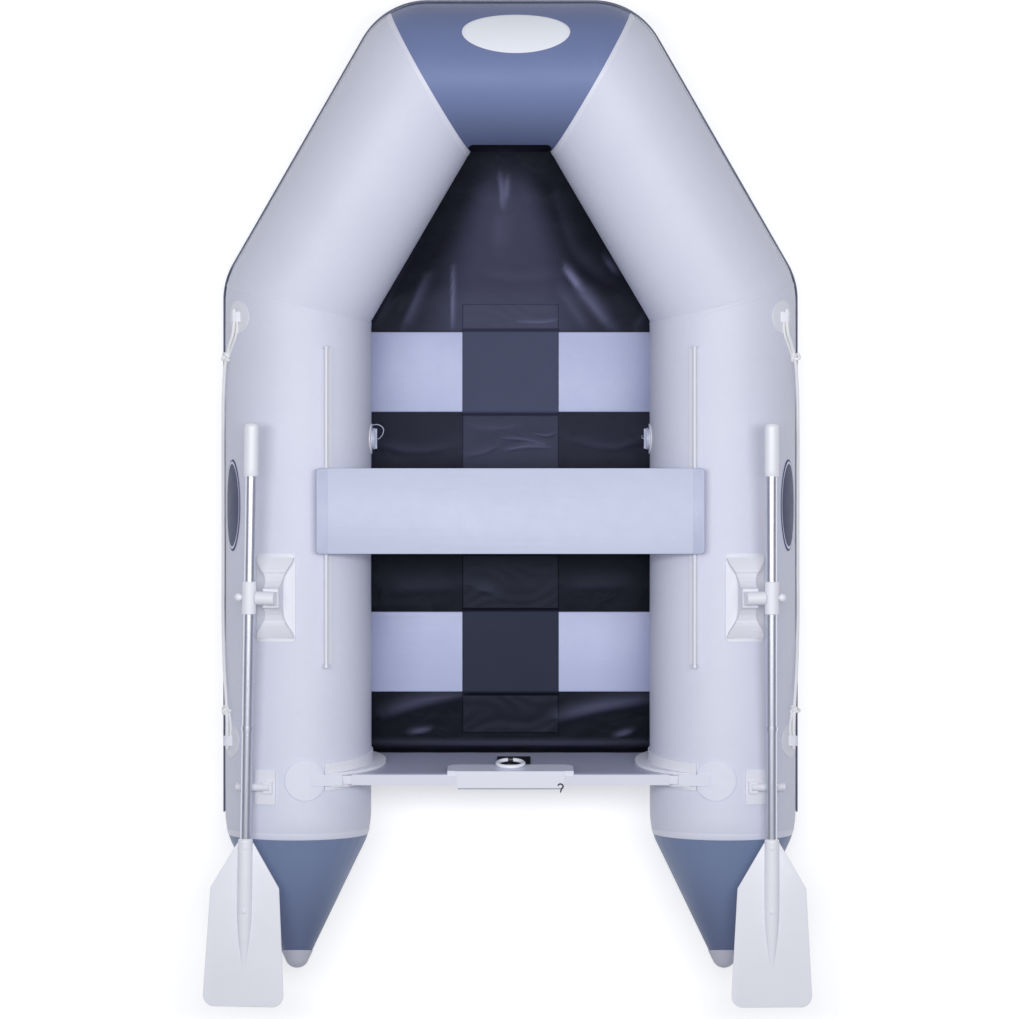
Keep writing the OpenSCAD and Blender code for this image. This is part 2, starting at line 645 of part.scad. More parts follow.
seat_corner = 10;
module seat_board() color(light_grey) translate([0, seat_y, seat_z])
    linear_extrude(seat_t) polygon(round_box(seat_len, seat_w, seat_corner));
channel_half = channel_r + channel_wall;
module seat_channel() along_y(seat_y - seat_w / 2 + 10, seat_y + seat_w / 2 - 10) difference() {
    translate([track_x - channel_half, bead_z - channel_r - channel_wall + 0.5])
        square([2 * channel_half, seat_z - bead_z + channel_r + channel_wall - 0.5]);
    translate([track_x, bead_z]) circle(r = channel_r);
    translate([track_x - web_t / 2 - channel_gap, 0]) square([web_t + 2 * channel_gap, bead_z]);
}
module seat_channels() color(white_plastic) {
    seat_channel();
    port_side() seat_channel();
}
module track_run() along_y(seat_y + track_lead - track_len / 2, seat_y + track_lead + track_len / 2)
    children();
module seat_track() color(white_plastic) {
    near = tube_r + glue_gap;
    low = tube_r + near * cos(track_angle) + 1;
    track_run() band(near, near + track_foot, -track_angle - 4, -track_angle + 4);
    track_run() translate([track_x - web_t / 2, low]) square([web_t, bead_z - low]);
    track_run() translate([track_x, bead_z]) circle(d = bead_d);
}

// ---------------------------------------------------------------- valves

neck_up = 3.5;
valve_flange_t = 2.5;
cap_t = 5;
module valve() color(white_plastic) difference() {
    union() {
        intersection() {
            on_tube(-valve_angle, valve_y) cylinder(d = valve_d, h = tube_d);
            translate([axis_x, valve_y, tube_r]) rotate([90, 0, 0]) difference() {
                cylinder(r = tube_r + glue_gap + valve_flange_t, h = tube_d, center = true);
                cylinder(r = tube_r + glue_gap, h = 2 * tube_d, center = true);
            }
        }
        on_tube(-valve_angle, valve_y) translate([0, 0, tube_r - barrel_len])
            cylinder(d = barrel_d, h = barrel_len + glue_gap + neck_up);
    }
    on_tube(-valve_angle, valve_y) cylinder(d = throat_d, h = tube_d);
}
module valve_cap() color(light_grey) on_tube(-valve_angle, valve_y) {
    seat = tube_r + glue_gap + neck_up + glue_gap;
    translate([0, 0, seat]) cylinder(d = barrel_d + 4, h = cap_t);
    translate([0, 0, seat - 14]) cylinder(d = throat_d - 2 * run_gap, h = 15);
    intersection() {
        translate([-4, -barrel_d, seat]) cube([8, 2 * barrel_d, cap_t + 5]);
        translate([0, 0, seat]) cylinder(d = barrel_d, h = cap_t + 5);
    }
}

// ---------------------------------------------------------------- oarlocks

// In this frame +Z is the swivel's axis, +X points outboard and the tube's axis is the Y axis
module lock_frame() on_tube(lock_lean, lock_y) children();
base_corner = 10;
end_half = 45;
waist_half = 19;
saddle_len = 190;
spigot_lip = 3;
spigot_foot = 12;
function waist(y) = waist_half + (end_half - waist_half) * pow((1 - cos(360 * abs(y) / saddle_len)) / 2, 3);
// Half of the saddle's side: the flat top, the neck and the domed end, as distance along and height
saddle_side = [[22, saddle_h], [25, saddle_h - 8], [30, saddle_h - 14], [40, 17], [54, 12], [58, 13], [61, 15.5],
    [66, 15], [78, 11.5], [88, 7.5], [95, 4], [95, -20]];
module oarlock_base() color(white_plastic) lock_frame() difference() {
    union() {
        intersection() {
            rotate([90, 0, 0]) cylinder(r = tube_r + glue_gap + flange_t, h = base_len, center = true);
            linear_extrude(tube_d) polygon(round_box(base_w, base_len, base_corner));
        }
        intersection() {
            linear_extrude(tube_d) polygon(concat(
                [for (i = [-16:16]) [waist(saddle_len * i / 32), saddle_len * i / 32]],
                [for (i = [16:-1:-16]) [-waist(saddle_len * i / 32), saddle_len * i / 32]]));
            along_x(-base_w / 2, base_w / 2) polygon(concat(
                [for (p = flip(saddle_side)) [-p.x, tube_r + p.y]],
                [for (p = saddle_side) [p.x, tube_r + p.y]]));
        }
    }
    rotate([90, 0, 0]) cylinder(r = tube_r + glue_gap, h = 2 * base_len, center = true);
    cylinder(r = spigot_d / 2 + run_gap, h = tube_d);
    cylinder(r = spigot_d / 2 + spigot_lip + glue_gap, h = tube_r + spigot_foot);
}
// The head's arched section, drawn in y and z
function arch(w, low, centre) = concat([[-w / 2, low], [w / 2, low]], arc([0, centre], w / 2, 0, 180, 16));
module swivel(yaw) color(white_plastic) lock_frame() rotate([0, 0, yaw]) {
    low = tube_r + saddle_h + glue_gap;
    along_x(-16, head_out) polygon(arch(head_w, low, pin_z));
    translate([0, 0, tube_r + 4]) cylinder(d = spigot_d, h = low - tube_r - 3);
    translate([0, 0, tube_r + 4]) cylinder(r = spigot_d / 2 + spigot_lip, h = spigot_foot - 4 - glue_gap);
    translate([0, 0, pin_z]) rotate([0, 90, 0]) cylinder(d = pin_d, h = knob_in + knob_d - 5);
}
module pin_knob(yaw) color(white_plastic)
    lock_frame() rotate([0, 0, yaw]) translate([knob_in, 0, pin_z]) rotate([0, 90, 0]) rotate_extrude() {
        r = knob_d / 2;
        bore = pin_d / 2 + run_gap;
        depth = knob_d - 4.7;
        polygon(concat([[bore, 0]], arc([0, r - 1], r, -50, 90, 12), [[0, depth], [bore, depth]]));
    }
module oar_rest() color(white_plastic) {
    near = tube_r + glue_gap;
    intersection() {
        along_y(rest_y - 41, rest_y + 41) band(near, near + 4, 14, 31);
        on_tube(22.5, rest_y) linear_extrude(tube_d) polygon(round_box(60, 82, 8));
    }
    difference() {
        union() {
            on_tube(lock_lean, rest_y) translate([12, 0, peg_z]) rotate([0, 90, 0]) cylinder(r = peg_r, h = 82);
            on_tube(lock_lean, rest_y) translate([6, -14, tube_r - 8]) cube([22, 28, peg_up + 12]);
        }
        translate([axis_x, rest_y, tube_r]) rotate([90, 0, 0]) cylinder(r = near + 2, h = tube_d, center = true);
    }
}

// ---------------------------------------------------------------- oars

// +Y runs up the oar's shaft to its grip, and X is the pin's axis
module oar_frame(yaw)
    lock_frame() rotate([0, 0, yaw]) translate([arm, 0, pin_z]) rotate([oar_pitch, 0, 0]) children();
// Turns an outline of radius and height about the shaft
module turned_on_shaft() rotate([-90, 0, 0]) rotate_extrude() children();
module pin_hole() translate([-collar_d, 0, 0]) rotate([0, 90, 0]) cylinder(r = pin_d / 2 + run_gap, h = 2 * collar_d);
module oar_collar(yaw) color(white_plastic) oar_frame(yaw) difference() {
    turned_on_shaft() polygon([[shaft_r + run_gap, -collar_len / 2], [collar_d / 2 - 1.5, -collar_len / 2],
        [collar_d / 2, 1.5 - collar_len / 2], [collar_d / 2, collar_len / 2 - 1.5],
        [collar_d / 2 - 1.5, collar_len / 2], [shaft_r + run_gap, collar_len / 2]]);
    pin_hole();
}
module upper_shaft(yaw) color("silver") oar_frame(yaw) difference() {
    turned_on_shaft() polygon([[shaft_r - shaft_wall, -joint_reach], [shaft_r + 2, -joint_reach],
        [shaft_r + 2, 10 - joint_reach], [shaft_r, 10 - joint_reach], [shaft_r, grip_reach - 14],
        [shaft_r - shaft_wall, grip_reach - 14]]);
    pin_hole();
}
module grip(yaw) color(white_plastic) oar_frame(yaw) turned_on_shaft() {
    from = grip_reach - grip_len;
    bore = shaft_r + run_gap;
    polygon(concat([[bore, from], [grip_d / 2, from], [grip_d / 2, from + 4], [grip_d / 2 - 3, from + 7]],
        [for (i = [0:12]) [grip_d / 2 - 3 + 1.6 * sin(i * 15), from + 10 + (grip_len - 30) * i / 12]],
        [[grip_d / 2, grip_reach - 16]],
        arc([grip_d / 2 - 8, grip_reach - 8], 8, 0, 90, steps),
        [[0, grip_reach], [0, grip_reach - 13.5], [bore, grip_reach - 13.5]]));
}
plug_len = 60;
module lower_shaft(yaw) color("silver") oar_frame(yaw) turned_on_shaft() {
    shoulder = -joint_reach - glue_gap;
    inner = shaft_r - shaft_wall;
    polygon([[shaft_r, shoulder], [shaft_r, -neck_reach - shaft_in_blade], [inner, -neck_reach - shaft_in_blade],
        [inner, shoulder - 8], [inner - run_gap - shaft_wall, shoulder - 4],
        [inner - run_gap - shaft_wall, shoulder + plug_len], [inner - run_gap, shoulder + plug_len],
        [inner - run_gap, shoulder]]);
}
// The blade lies level in the boat, with its socket on the shaft
function blade_outline() = let (
    shoulder = -neck_reach - shoulder_back, end = -blade_reach, corner = 28, w = blade_w / 2, s = shoulder_w / 2) concat(
    [[neck_d / 2 - 3, -neck_reach - 40], [neck_d / 2 + 6, -neck_reach - 62]],
    arc([s - 26, shoulder - 14], 26, 60, 5, steps),
    arc([w - corner, end + corner + 3], corner, 0, -80, steps),
    [[0, end]]);
module blade(yaw) color(white_plastic) oar_frame(yaw) rotate([0, -lock_lean, 0]) difference() {
    union() {
        translate([0, 0, -blade_t / 2]) linear_extrude(blade_t) {
            polygon(concat([[0, -neck_reach - 40]], blade_outline()));
            mirror([1, 0]) polygon(concat([[0, -neck_reach - 40]], blade_outline()));
        }
        turned_on_shaft() polygon([[0, -neck_reach], [neck_d / 2 - 2, -neck_reach], [neck_d / 2, -neck_reach - 2],
            [neck_d / 2, -neck_reach - socket_full], [3, -neck_reach - socket_len + 2], [0, -neck_reach - socket_len]]);
    }
    rotate([90, 0, 0]) cylinder(r = shaft_r + run_gap, h = neck_reach + shaft_in_blade + 1);
}

// ---------------------------------------------------------------- lifelines and plates

module pad_at(angle, y) {
    near = tube_r + glue_gap;
    intersection() {
        along_y(y - pad_d, y + pad_d) band(near, near + pad_t, angle - 20, angle + 20);
        on_tube(angle, y) cylinder(d = pad_d, h = tube_d);
    }
    on_tube(angle, y) translate([0, 0, near + pad_t + eye_up]) rotate([90, 0, 0])
        linear_extrude(eye_len, center = true) difference() {
            polygon(concat([[-12, -eye_up - 0.5], [12, -eye_up - 0.5]], arc([0, 0], eye_r + 3, 0, 180, 12)));
            circle(r = eye_r);
        }
}
module lifeline_pads() color(white_plastic) {
    pad_at(front_pad_angle, front_pad_y);
    pad_at(rear_pad_angle, rear_pad_y);
}
// A smooth curve through the route's points
function curve_point(p, q, r, s, t) = 0.5 * (2 * q + (r - p) * t
    + (2 * p - 5 * q + 4 * r - s) * t * t + (3 * q - p - 3 * r + s) * t * t * t);
function smooth(list, parts) = let (n = len(list)) concat([for (i = [0:n - 2]) for (k = [0:parts - 1])
    curve_point(list[max(i - 1, 0)], list[i], list[i + 1], list[min(i + 2, n - 1)], k / parts)], [list[n - 1]]);
function tube_ring(point, along, r, n) = let (
    side = unit(cross(along, [0, 0, 1])), up = cross(side, along))
    [for (k = [0:n - 1]) point + r * (cos(360 * k / n) * side + sin(360 * k / n) * up)];
module rope(route, d, n) {
    line = smooth(route, 2);
    last = len(line) - 1;
    sweep([for (i = [0:last]) tube_ring(line[i], unit(line[min(i + 1, last)] - line[max(i - 1, 0)]), d / 2, n)]);
}
module lifeline() color(white_plastic) rope(lifeline_route, line_d, 10);

module side_plate() color(blue_grey) intersection() {
    near = tube_r + glue_gap;
    along_y(side_plate_y - side_plate_len, side_plate_y + side_plate_len)
        band(near, near + plate_t, side_plate_angle - 20, side_plate_angle + 20);
    on_tube(side_plate_angle, side_plate_y) linear_extrude(tube_d) polygon(oval(side_plate_w, side_plate_len));
}
module side_plates() {
    side_plate();
    port_side() side_plate();
}
module bow_plate() color(light_grey) translate([0, bow_y, tube_r + bow_rise]) rotate([-bow_plate_angle, 0, 0])
    intersection() {
        linear_extrude(tube_d) polygon(oval(bow_plate_len, bow_plate_w));
        rotate([0, 90, 0]) difference() {
            cylinder(r = tube_r + glue_gap + plate_t, h = bow_len, center = true);
            cylinder(r = tube_r + glue_gap, h = bow_len + 2, center = true);
        }
    }

bow_tube();
quarter_tube();  // starboard_quarter_tube
port_side() quarter_tube();  // port_quarter_tube
side_tube();  // starboard_side_tube
port_side() side_tube();  // port_side_tube
stern_cone();  // starboard_stern_cone
port_side() stern_cone();  // port_stern_cone
cone_tip_caps();
chamber_baffle();
rubbing_strake();
floor_sheet();
bow_floor_sheet();
slat(1);  // fore_slat
slat(0);  // middle_slat
slat(-1);  // aft_slat
slat_sleeve();
transom_board();
transom_trim();
transom_holder();  // starboard_transom_holder
port_side() transom_holder();  // port_transom_holder
transom_tie();  // starboard_transom_tie
port_side() transom_tie();  // port_transom_tie
inner_motor_plate();
outer_motor_plate();
ring_patch();
safety_ring();
seat_board();
seat_channels();
seat_track();  // starboard_seat_track
port_side() seat_track();  // port_seat_track
valve();  // starboard_valve
port_side() valve();  // port_valve
valve_cap();  // starboard_valve_cap
port_side() valve_cap();  // port_valve_cap
oarlock_base();  // starboard_oarlock_base
port_side() oarlock_base();  // port_oarlock_base
swivel(starboard_yaw);  // starboard_swivel
port_side() swivel(port_yaw);  // port_swivel
pin_knob(starboard_yaw);  // starboard_pin_knob
port_side() pin_knob(port_yaw);  // port_pin_knob
oar_collar(starboard_yaw);  // starboard_oar_collar
port_side() oar_collar(port_yaw);  // port_oar_collar
upper_shaft(starboard_yaw);  // starboard_upper_shaft
port_side() upper_shaft(port_yaw);  // port_upper_shaft
grip(starboard_yaw);  // starboard_grip
port_side() grip(port_yaw);  // port_grip
lower_shaft(starboard_yaw);  // starboard_lower_shaft
port_side() lower_shaft(port_yaw);  // port_lower_shaft
blade(starboard_yaw);  // starboard_blade
port_side() blade(port_yaw);  // port_blade
oar_rest();  // starboard_oar_rest
port_side() oar_rest();  // port_oar_rest
lifeline_pads();  // starboard_lifeline_pads
port_side() lifeline_pads();  // port_lifeline_pads
lifeline();  // starboard_lifeline
port_side() lifeline();  // port_lifeline
side_plates();
bow_plate();
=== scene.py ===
# %% [markdown]
# # Inflatable dinghy: the dressed model
# The CAD parts come in as a fixed frame, in metres: +X is starboard, +Y the bow and +Z up.
# Each later cell dresses one group of parts, and prints what it made.

# %% Load the frame
import math

import bpy
import numpy as np
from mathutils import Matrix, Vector
from mathutils.bvhtree import BVHTree


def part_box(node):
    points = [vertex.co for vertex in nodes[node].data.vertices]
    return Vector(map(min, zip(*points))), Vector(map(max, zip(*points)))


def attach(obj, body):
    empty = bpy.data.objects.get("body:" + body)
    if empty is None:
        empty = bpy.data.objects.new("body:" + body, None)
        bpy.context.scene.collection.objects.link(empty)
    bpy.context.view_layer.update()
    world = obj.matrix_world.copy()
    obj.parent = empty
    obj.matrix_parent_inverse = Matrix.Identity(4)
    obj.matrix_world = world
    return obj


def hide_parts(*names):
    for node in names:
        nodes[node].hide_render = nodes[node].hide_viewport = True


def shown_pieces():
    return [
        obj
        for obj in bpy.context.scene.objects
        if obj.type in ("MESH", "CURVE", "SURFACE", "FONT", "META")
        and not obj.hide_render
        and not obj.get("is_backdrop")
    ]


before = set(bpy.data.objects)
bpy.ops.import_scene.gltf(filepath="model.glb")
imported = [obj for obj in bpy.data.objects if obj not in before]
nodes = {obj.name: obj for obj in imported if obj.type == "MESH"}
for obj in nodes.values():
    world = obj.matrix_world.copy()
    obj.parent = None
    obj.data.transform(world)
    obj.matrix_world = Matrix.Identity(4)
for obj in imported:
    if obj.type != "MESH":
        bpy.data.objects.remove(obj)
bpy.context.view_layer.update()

# %% [markdown]
# ## Camera
# The photograph looks straight down from far above, with the bow at the top of the frame.
# The named image points are pixels of its 1024 x 1019 frame, and settle the camera.

# %% Camera and image points
WIDTH, HEIGHT = 1024, 1019
CAMERA_AT = Vector((0.0036, -0.015, 8.0))
LENS, SENSOR = 114.4, 36.0
FOCUS = max(WIDTH, HEIGHT) * LENS / SENSOR  # the focal length in pixels


def linked(name, data):
    """A new object with its data, in the scene."""
    thing = bpy.data.objects.new(name, data)
    bpy.context.scene.collection.objects.link(thing)
    return thing


camera_data = bpy.data.cameras.new("camera")
camera_data.sensor_width, camera_data.lens = SENSOR, LENS
camera_data.clip_start, camera_data.clip_end = 0.1, 60
camera = linked("camera", camera_data)
camera.location = CAMERA_AT
bpy.context.scene.camera = camera

POINTS = {
    "bow_plate": (517, 32), "port_side_plate": (233, 502), "starboard_side_plate": (786, 508),
    "port_front_pad": (236, 314), "starboard_front_pad": (783, 316),
    "port_tie": (305, 778), "starboard_tie": (712, 777),
    "port_cone_tip": (296, 965), "starboard_cone_tip": (720, 965),
    "seat_left": (317, 511), "seat_right": (705, 511),
    "port_valve_tether": (377, 430), "wire_hook": (561, 788),
    "port_knot": (228, 360), "starboard_knot": (792, 362),
}


def pixel(p):
    """Where a point of the frame shows in the photograph's frame."""
    d = Vector(p) - camera.location
    k = FOCUS / -d.z
    return WIDTH / 2 + d.x * k, HEIGHT / 2 - d.y * k


def ray_to(x, y, tree):
    """The point of a carrier's surface that an image point shows."""
    way = Vector((x - WIDTH / 2, HEIGHT / 2 - y, -FOCUS)).normalized()
    return tree.ray_cast(camera.location, way)[0]


print("camera:", tuple(round(v, 4) for v in CAMERA_AT), "lens", LENS)

# %% [markdown]
# ## Sizes, repeated from the CAD source in metres

# %% Sizes
def unit(v):
    return np.asarray(v, float) / np.linalg.norm(v)


def units(rows):
    return rows / np.linalg.norm(rows, axis=1)[:, None]


SIDES = {"starboard": 1, "port": -1}
MIRROR = np.array((-1, 1, 1))
TUBE_R, GLUE = 0.175, 0.0003
AXIS_X, QUARTER_RUN, BOW_RISE = 0.510, 0.524, 0.110
BOW = np.array((0.195, 1.0103, 0.285))
BEND = np.array((AXIS_X, 0.4863, TUBE_R))
TAPER = np.array((AXIS_X, -0.74077, TUBE_R))
CONE_ANGLE, CONE_LIFT = math.radians(25.5), math.radians(8)
TIP_R, SEAM_BACK = 0.027, 0.053
TIP_RUN = (TUBE_R - TIP_R) / math.sin(CONE_ANGLE)
CONE_DIR = np.array((0, -math.cos(CONE_LIFT), math.sin(CONE_LIFT)))
QUARTER_DIR = unit(BOW - BEND)
BOW_SLOPE = math.atan2(BOW_RISE, QUARTER_RUN)
FLOOR_ANGLE = math.radians(21)
FLOOR_DROP = TUBE_R * math.cos(FLOOR_ANGLE)
FLOOR_TOP = TUBE_R - FLOOR_DROP
FLOOR_HALF = AXIS_X - TUBE_R * math.sin(FLOOR_ANGLE) - GLUE
CREASE_Y = BEND[1] + FLOOR_DROP * math.tan(BOW_SLOPE / 2)
TRANSOM_Y, RAKE = -0.60177, math.radians(7)
VALVE_Y = 0.15523
SLAT_Y, SLAT_PITCH = -0.02075, 0.34301
SLAT_LEN, SLAT_W, SLAT_T = 0.820, 0.196, 0.009
SLEEVE_HALF = 0.118
SEAT_Y, SEAT_Z = -0.01877, 0.35466
SEAT_LEN, SEAT_W, SEAT_T = 0.912, 0.202, 0.016
LINE_D = 0.008
LIFELINE = np.array([  # the CAD source's points, in millimetres
    [655, 460, 292], [655, 448, 292], [655, 432, 292], [656, 418, 290], [659, 400, 284], [666, 382, 271],
    [674, 360, 252], [680, 334, 236], [684, 300, 222], [687, 250, 212], [688, 200, 205], [689, 140, 199],
    [689, 80, 197], [689, 20, 196], [689, -50, 196], [689, -120, 196], [689, -190, 196], [689, -260, 199],
    [687, -330, 208], [684, -390, 221], [680, -440, 235], [677, -480, 247], [675, -510, 256],
    [674, -530, 260], [674, -550, 262], [674, -570, 262], [674, -584, 262]]) / 1000
print("floor at", round(FLOOR_TOP, 5), "crease at", round(CREASE_Y, 4))

# %% [markdown]
# ## Materials
# `Sock` wraps a node's output so that shader maths reads like ordinary arithmetic.
# `Paint` builds one material: patterns from object coordinates or from UVs that are in metres.

# %% Shader arithmetic
class Sock:
    """A node's output, for use in sums and products."""
    def __init__(self, paint, out):
        self.paint, self.out = paint, out

    def op(self, kind, *others):
        return self.paint.node("Math", (self, *others), operation=kind)

    def __add__(self, o): return self.op("ADD", o)
    def __sub__(self, o): return self.op("SUBTRACT", o)
    def __rsub__(self, o): return self.paint.node("Math", (o, self), operation="SUBTRACT")
    def __mul__(self, o): return self.op("MULTIPLY", o)
    def sin(self): return self.op("SINE")
    def abs(self): return self.op("ABSOLUTE")
    def within(self): return self.op("MAXIMUM", 0.0).op("MINIMUM", 1.0)

    def step(self, low, high):
        """0 below low, 1 above high, smooth between; low may be the larger."""
        ends = float(low > high), float(low <= high)
        return self.paint.node("MapRange", (self, *sorted((low, high)), *ends), interpolation_type="SMOOTHSTEP")


class Paint:
    """One material: each method adds to it and returns it, or gives a Sock for the others to use."""
    def __init__(self, name, colour, roughness, **sockets):
        self.material = bpy.data.materials.new(name)
        self.material.use_nodes = True
        self.tree = self.material.node_tree
        self.inputs = self.tree.nodes["Principled BSDF"].inputs
        self.colour, self.height = colour, None
        self.inputs["Base Color"].default_value = (*colour, 1)
        self.inputs["Roughness"].default_value = roughness
        self.material.diffuse_color = (*colour, 1)
        for key, value in sockets.items():
            self.inputs[key.replace("_", " ")].default_value = value

    def feed(self, slot_in, value):
        if isinstance(value, Sock):
            self.tree.links.new(value.out, slot_in)
        else:
            slot_in.default_value = value

    def node(self, kind, inputs=(), out=0, **settings):
        """A new node with its settings and inputs, as the Sock of one of its outputs."""
        node = self.tree.nodes.new("ShaderNode" + kind)
        for key, value in settings.items():
            setattr(node, key, value)
        for key, value in inputs.items() if isinstance(inputs, dict) else enumerate(inputs):
            self.feed(node.inputs[key], value)
        return Sock(self, node.outputs[out])

    def place(self, uv=False, scale=(1, 1, 1)):
        source = self.node("TexCoord", out="UV" if uv else "Object")
        return self.node("Mapping", {"Vector": source, "Scale": scale})

    def split(self, vector):
        outputs = self.node("SeparateXYZ", [vector]).out.node.outputs
        return [Sock(self, out) for out in outputs]

    def axes(self, uv=False):
        return self.split(self.place(uv))

    def noise(self, scale, detail=2.0, stretch=(1, 1, 1), uv=False, twist=0.0):
        """Noise about 0, mostly from -1 to 1, with scale cycles to the metre."""
        inputs = {"Vector": self.place(uv, stretch), "Scale": scale, "Detail": detail, "Distortion": twist}
        return (self.node("TexNoise", inputs, out="Fac") - 0.5) * 4.0

    def tint(self, factor, colour):
        """Moves the base colour towards another one by a factor."""
        base = self.inputs["Base Color"]
        start = Sock(self, base.links[0].from_socket) if base.is_linked else base.default_value
        self.feed(base, self.node("Mix", {0: factor.within(), 6: start, 7: (*colour, 1)}, out=2, data_type="RGBA"))
        return self

    def mark(self, name):
        """A value that the mesh carries at its points."""
        return self.node("Attribute", out="Fac", attribute_name=name)

    def facing_up(self):
        """1 on faces that look up, 0 on the others."""
        return self.split(self.node("TexCoord", out="Normal"))[2].step(0.75, 0.95)

    def vary(self, amount, scale, detail=3.0, **where):
        """Blotches a little darker and lighter than the base colour."""
        n = self.noise(scale, detail, **where)
        self.tint(n * amount, tuple(min(1, c * 1.35) for c in self.colour))
        return self.tint(n * -amount, tuple(c * 0.6 for c in self.colour))

    def rough(self, value):
        self.feed(self.inputs["Roughness"], value)
        return self

    def bump(self, height, depth):
        """Adds relief: height in about 0 to 1, depth in metres."""
        self.height = height * depth if self.height is None else self.height + height * depth
        return self

    def weave(self, pitch, depth, uv=True):
        """Two sets of threads, over and under."""
        u, v = ((axis * (math.tau / pitch)).sin() for axis in self.axes(uv)[:2])
        return self.bump(u * v * 0.5 + 0.5, depth)

    def done(self):
        if self.height is not None:
            relief = {"Strength": 1.0, "Distance": 1.0, "Height": self.height}
            self.feed(self.inputs["Normal"], self.node("Bump", relief))
        return self.material


def srgb(*levels):
    """A colour in the shaders' linear light from screen levels of 0 to 255."""
    return tuple(c / 255 / 12.92 if c <= 10 else ((c / 255 + 0.055) / 1.055) ** 2.4 for c in levels)


# %% [markdown]
# ## The finishes
# Coated fabric has a fine woven relief under its coating. Plastics have a moulded grain.

# %% Finishes
WEAVE_DEPTH, COAT_DEPTH, GRAIN_DEPTH, MOULD_DEPTH = 0.00003, 0.00012, 0.00002, 0.00006


def coated(name, colour, roughness=0.5, uv=True, weave=0.0013, coat=0.04, **sockets):
    p = Paint(name, colour, roughness, Coat_Weight=coat, Coat_Roughness=0.35, **sockets)
    p.vary(0.05, 5).vary(0.03, 60, 4)
    p.rough(p.noise(9, 3) * 0.03 + roughness)
    return p.weave(weave, WEAVE_DEPTH, uv).bump(p.noise(14, 2), COAT_DEPTH)


def moulded(name, colour, roughness=0.34, coat=0.1):
    p = Paint(name, colour, roughness, Coat_Weight=coat, Coat_Roughness=0.2)
    p.vary(0.035, 11).vary(0.03, 220, 3)
    p.rough(p.noise(30, 3) * 0.04 + roughness)
    return p.bump(p.noise(900, 2), GRAIN_DEPTH).bump(p.noise(45, 2), MOULD_DEPTH)


COOL = (0.62, 0.70, 1.0, 1)  # the tint of the sheen on dark coated fabric
tube_fabric = coated("tube_fabric", srgb(219, 221, 238)).done()
panel_paint = coated("panel_fabric", srgb(115, 128, 170), 0.46, coat=0.05, Specular_Tint=COOL)
ahead = panel_paint.axes()[1]
panel_paint.tint(ahead.step(-0.76, -0.80) * 0.9, srgb(120, 135, 167))
# Painted shade: the cones darken towards their tips, and the bow tube's upper and lower edges are darker than its
# middle
tips = ahead.step(-0.82, -1.06) * 0.55
rim_shade = (ahead - 1.02).abs().step(0.07, 0.17) * ahead.step(0.7, 0.8) * 0.5
panel_fabric = panel_paint.tint(tips + rim_shade, srgb(76, 84, 112)).done()
weld_fabric = coated("weld_fabric", srgb(225, 227, 242), 0.4).done()

dark = {"coat": 0.0, "weave": 0.0016, "Specular_Tint": COOL}
floor_paint = coated("floor_fabric", srgb(14, 15, 23), 0.34, Specular_IOR_Level=0.08, **dark)
# Painted sheen: the floor is painted lighter along its folds and up the middle of the bow, where the lamps'
# reflections fall
floor_paint.tint(floor_paint.mark("painted_sheen"), srgb(122, 122, 158))
floor_fabric = floor_paint.bump(floor_paint.noise(17, 2, twist=0.8), 0.0003).done()

sleeve_paint = coated("sleeve_fabric", srgb(20, 21, 31), 0.38, Specular_IOR_Level=0.14, **dark)
_, ahead, height = sleeve_paint.axes()
# Painted sheen: where the sleeve lies over the slats it is painted lighter, more so towards the bow; between the
# slats it takes the floor's painted sheen
lifted = height.step(0.0165, 0.0205)
sleeve_paint.tint(lifted * (ahead.step(-0.30, 0.20) * 0.7 + 0.3), srgb(66, 71, 94))
sleeve_paint.tint((1 - lifted) * sleeve_paint.mark("painted_sheen"), srgb(124, 125, 162))
sleeve_fabric = sleeve_paint.done()

plastic = moulded("white_plastic", srgb(241, 242, 251)).done()
soft_plastic = moulded("soft_plastic", srgb(232, 233, 243), 0.46, coat=0.0).done()
trim_plastic = moulded("trim_plastic", srgb(228, 229, 243), 0.4).done()
grey_plastic = moulded("grey_plastic", srgb(184, 191, 218), 0.42).done()
plate_paint = moulded("plate_plastic", srgb(236, 238, 255), 0.36)
# Painted light: faces that do not look up are a little bluer and lighter than the tops, to make up for the shade they
# turn into
plate_plastic = plate_paint.tint(plate_paint.facing_up(), srgb(236, 237, 250)).done()
cap_rubber = moulded("cap_rubber", srgb(192, 192, 206), 0.5, coat=0.0).done()
strake_rubber = moulded("strake_rubber", srgb(84, 90, 120), 0.5, coat=0.0).done()
patch_fabric = coated("patch_fabric", srgb(22, 22, 29), 0.3, uv=False, coat=0.2).done()

slat_paint = moulded("slat_board", srgb(182, 190, 225), 0.42)
# Painted shadow: the slats darken towards their ends, where the tubes shade them
slat_paint.tint(slat_paint.axes()[0].abs().step(0.29, 0.39) * 0.3, srgb(140, 148, 184))
slat_board = slat_paint.bump(slat_paint.noise(34, 3, stretch=(0.12, 1.6, 1)), 0.00012).done()

seat_paint = moulded("seat_plank", srgb(194, 201, 226), 0.42)
seat_plank = seat_paint.bump(seat_paint.noise(40, 3, stretch=(0.1, 1.8, 1)), 0.0001).done()

board_paint = moulded("transom_paint", srgb(178, 180, 204), 0.4).vary(0.06, 60, 4, stretch=(0.06, 1, 1))
board_paint.tint(board_paint.facing_up(), srgb(234, 235, 248))
board_finish = board_paint.bump(board_paint.noise(90, 4, stretch=(0.05, 1, 1)), 0.0001).done()

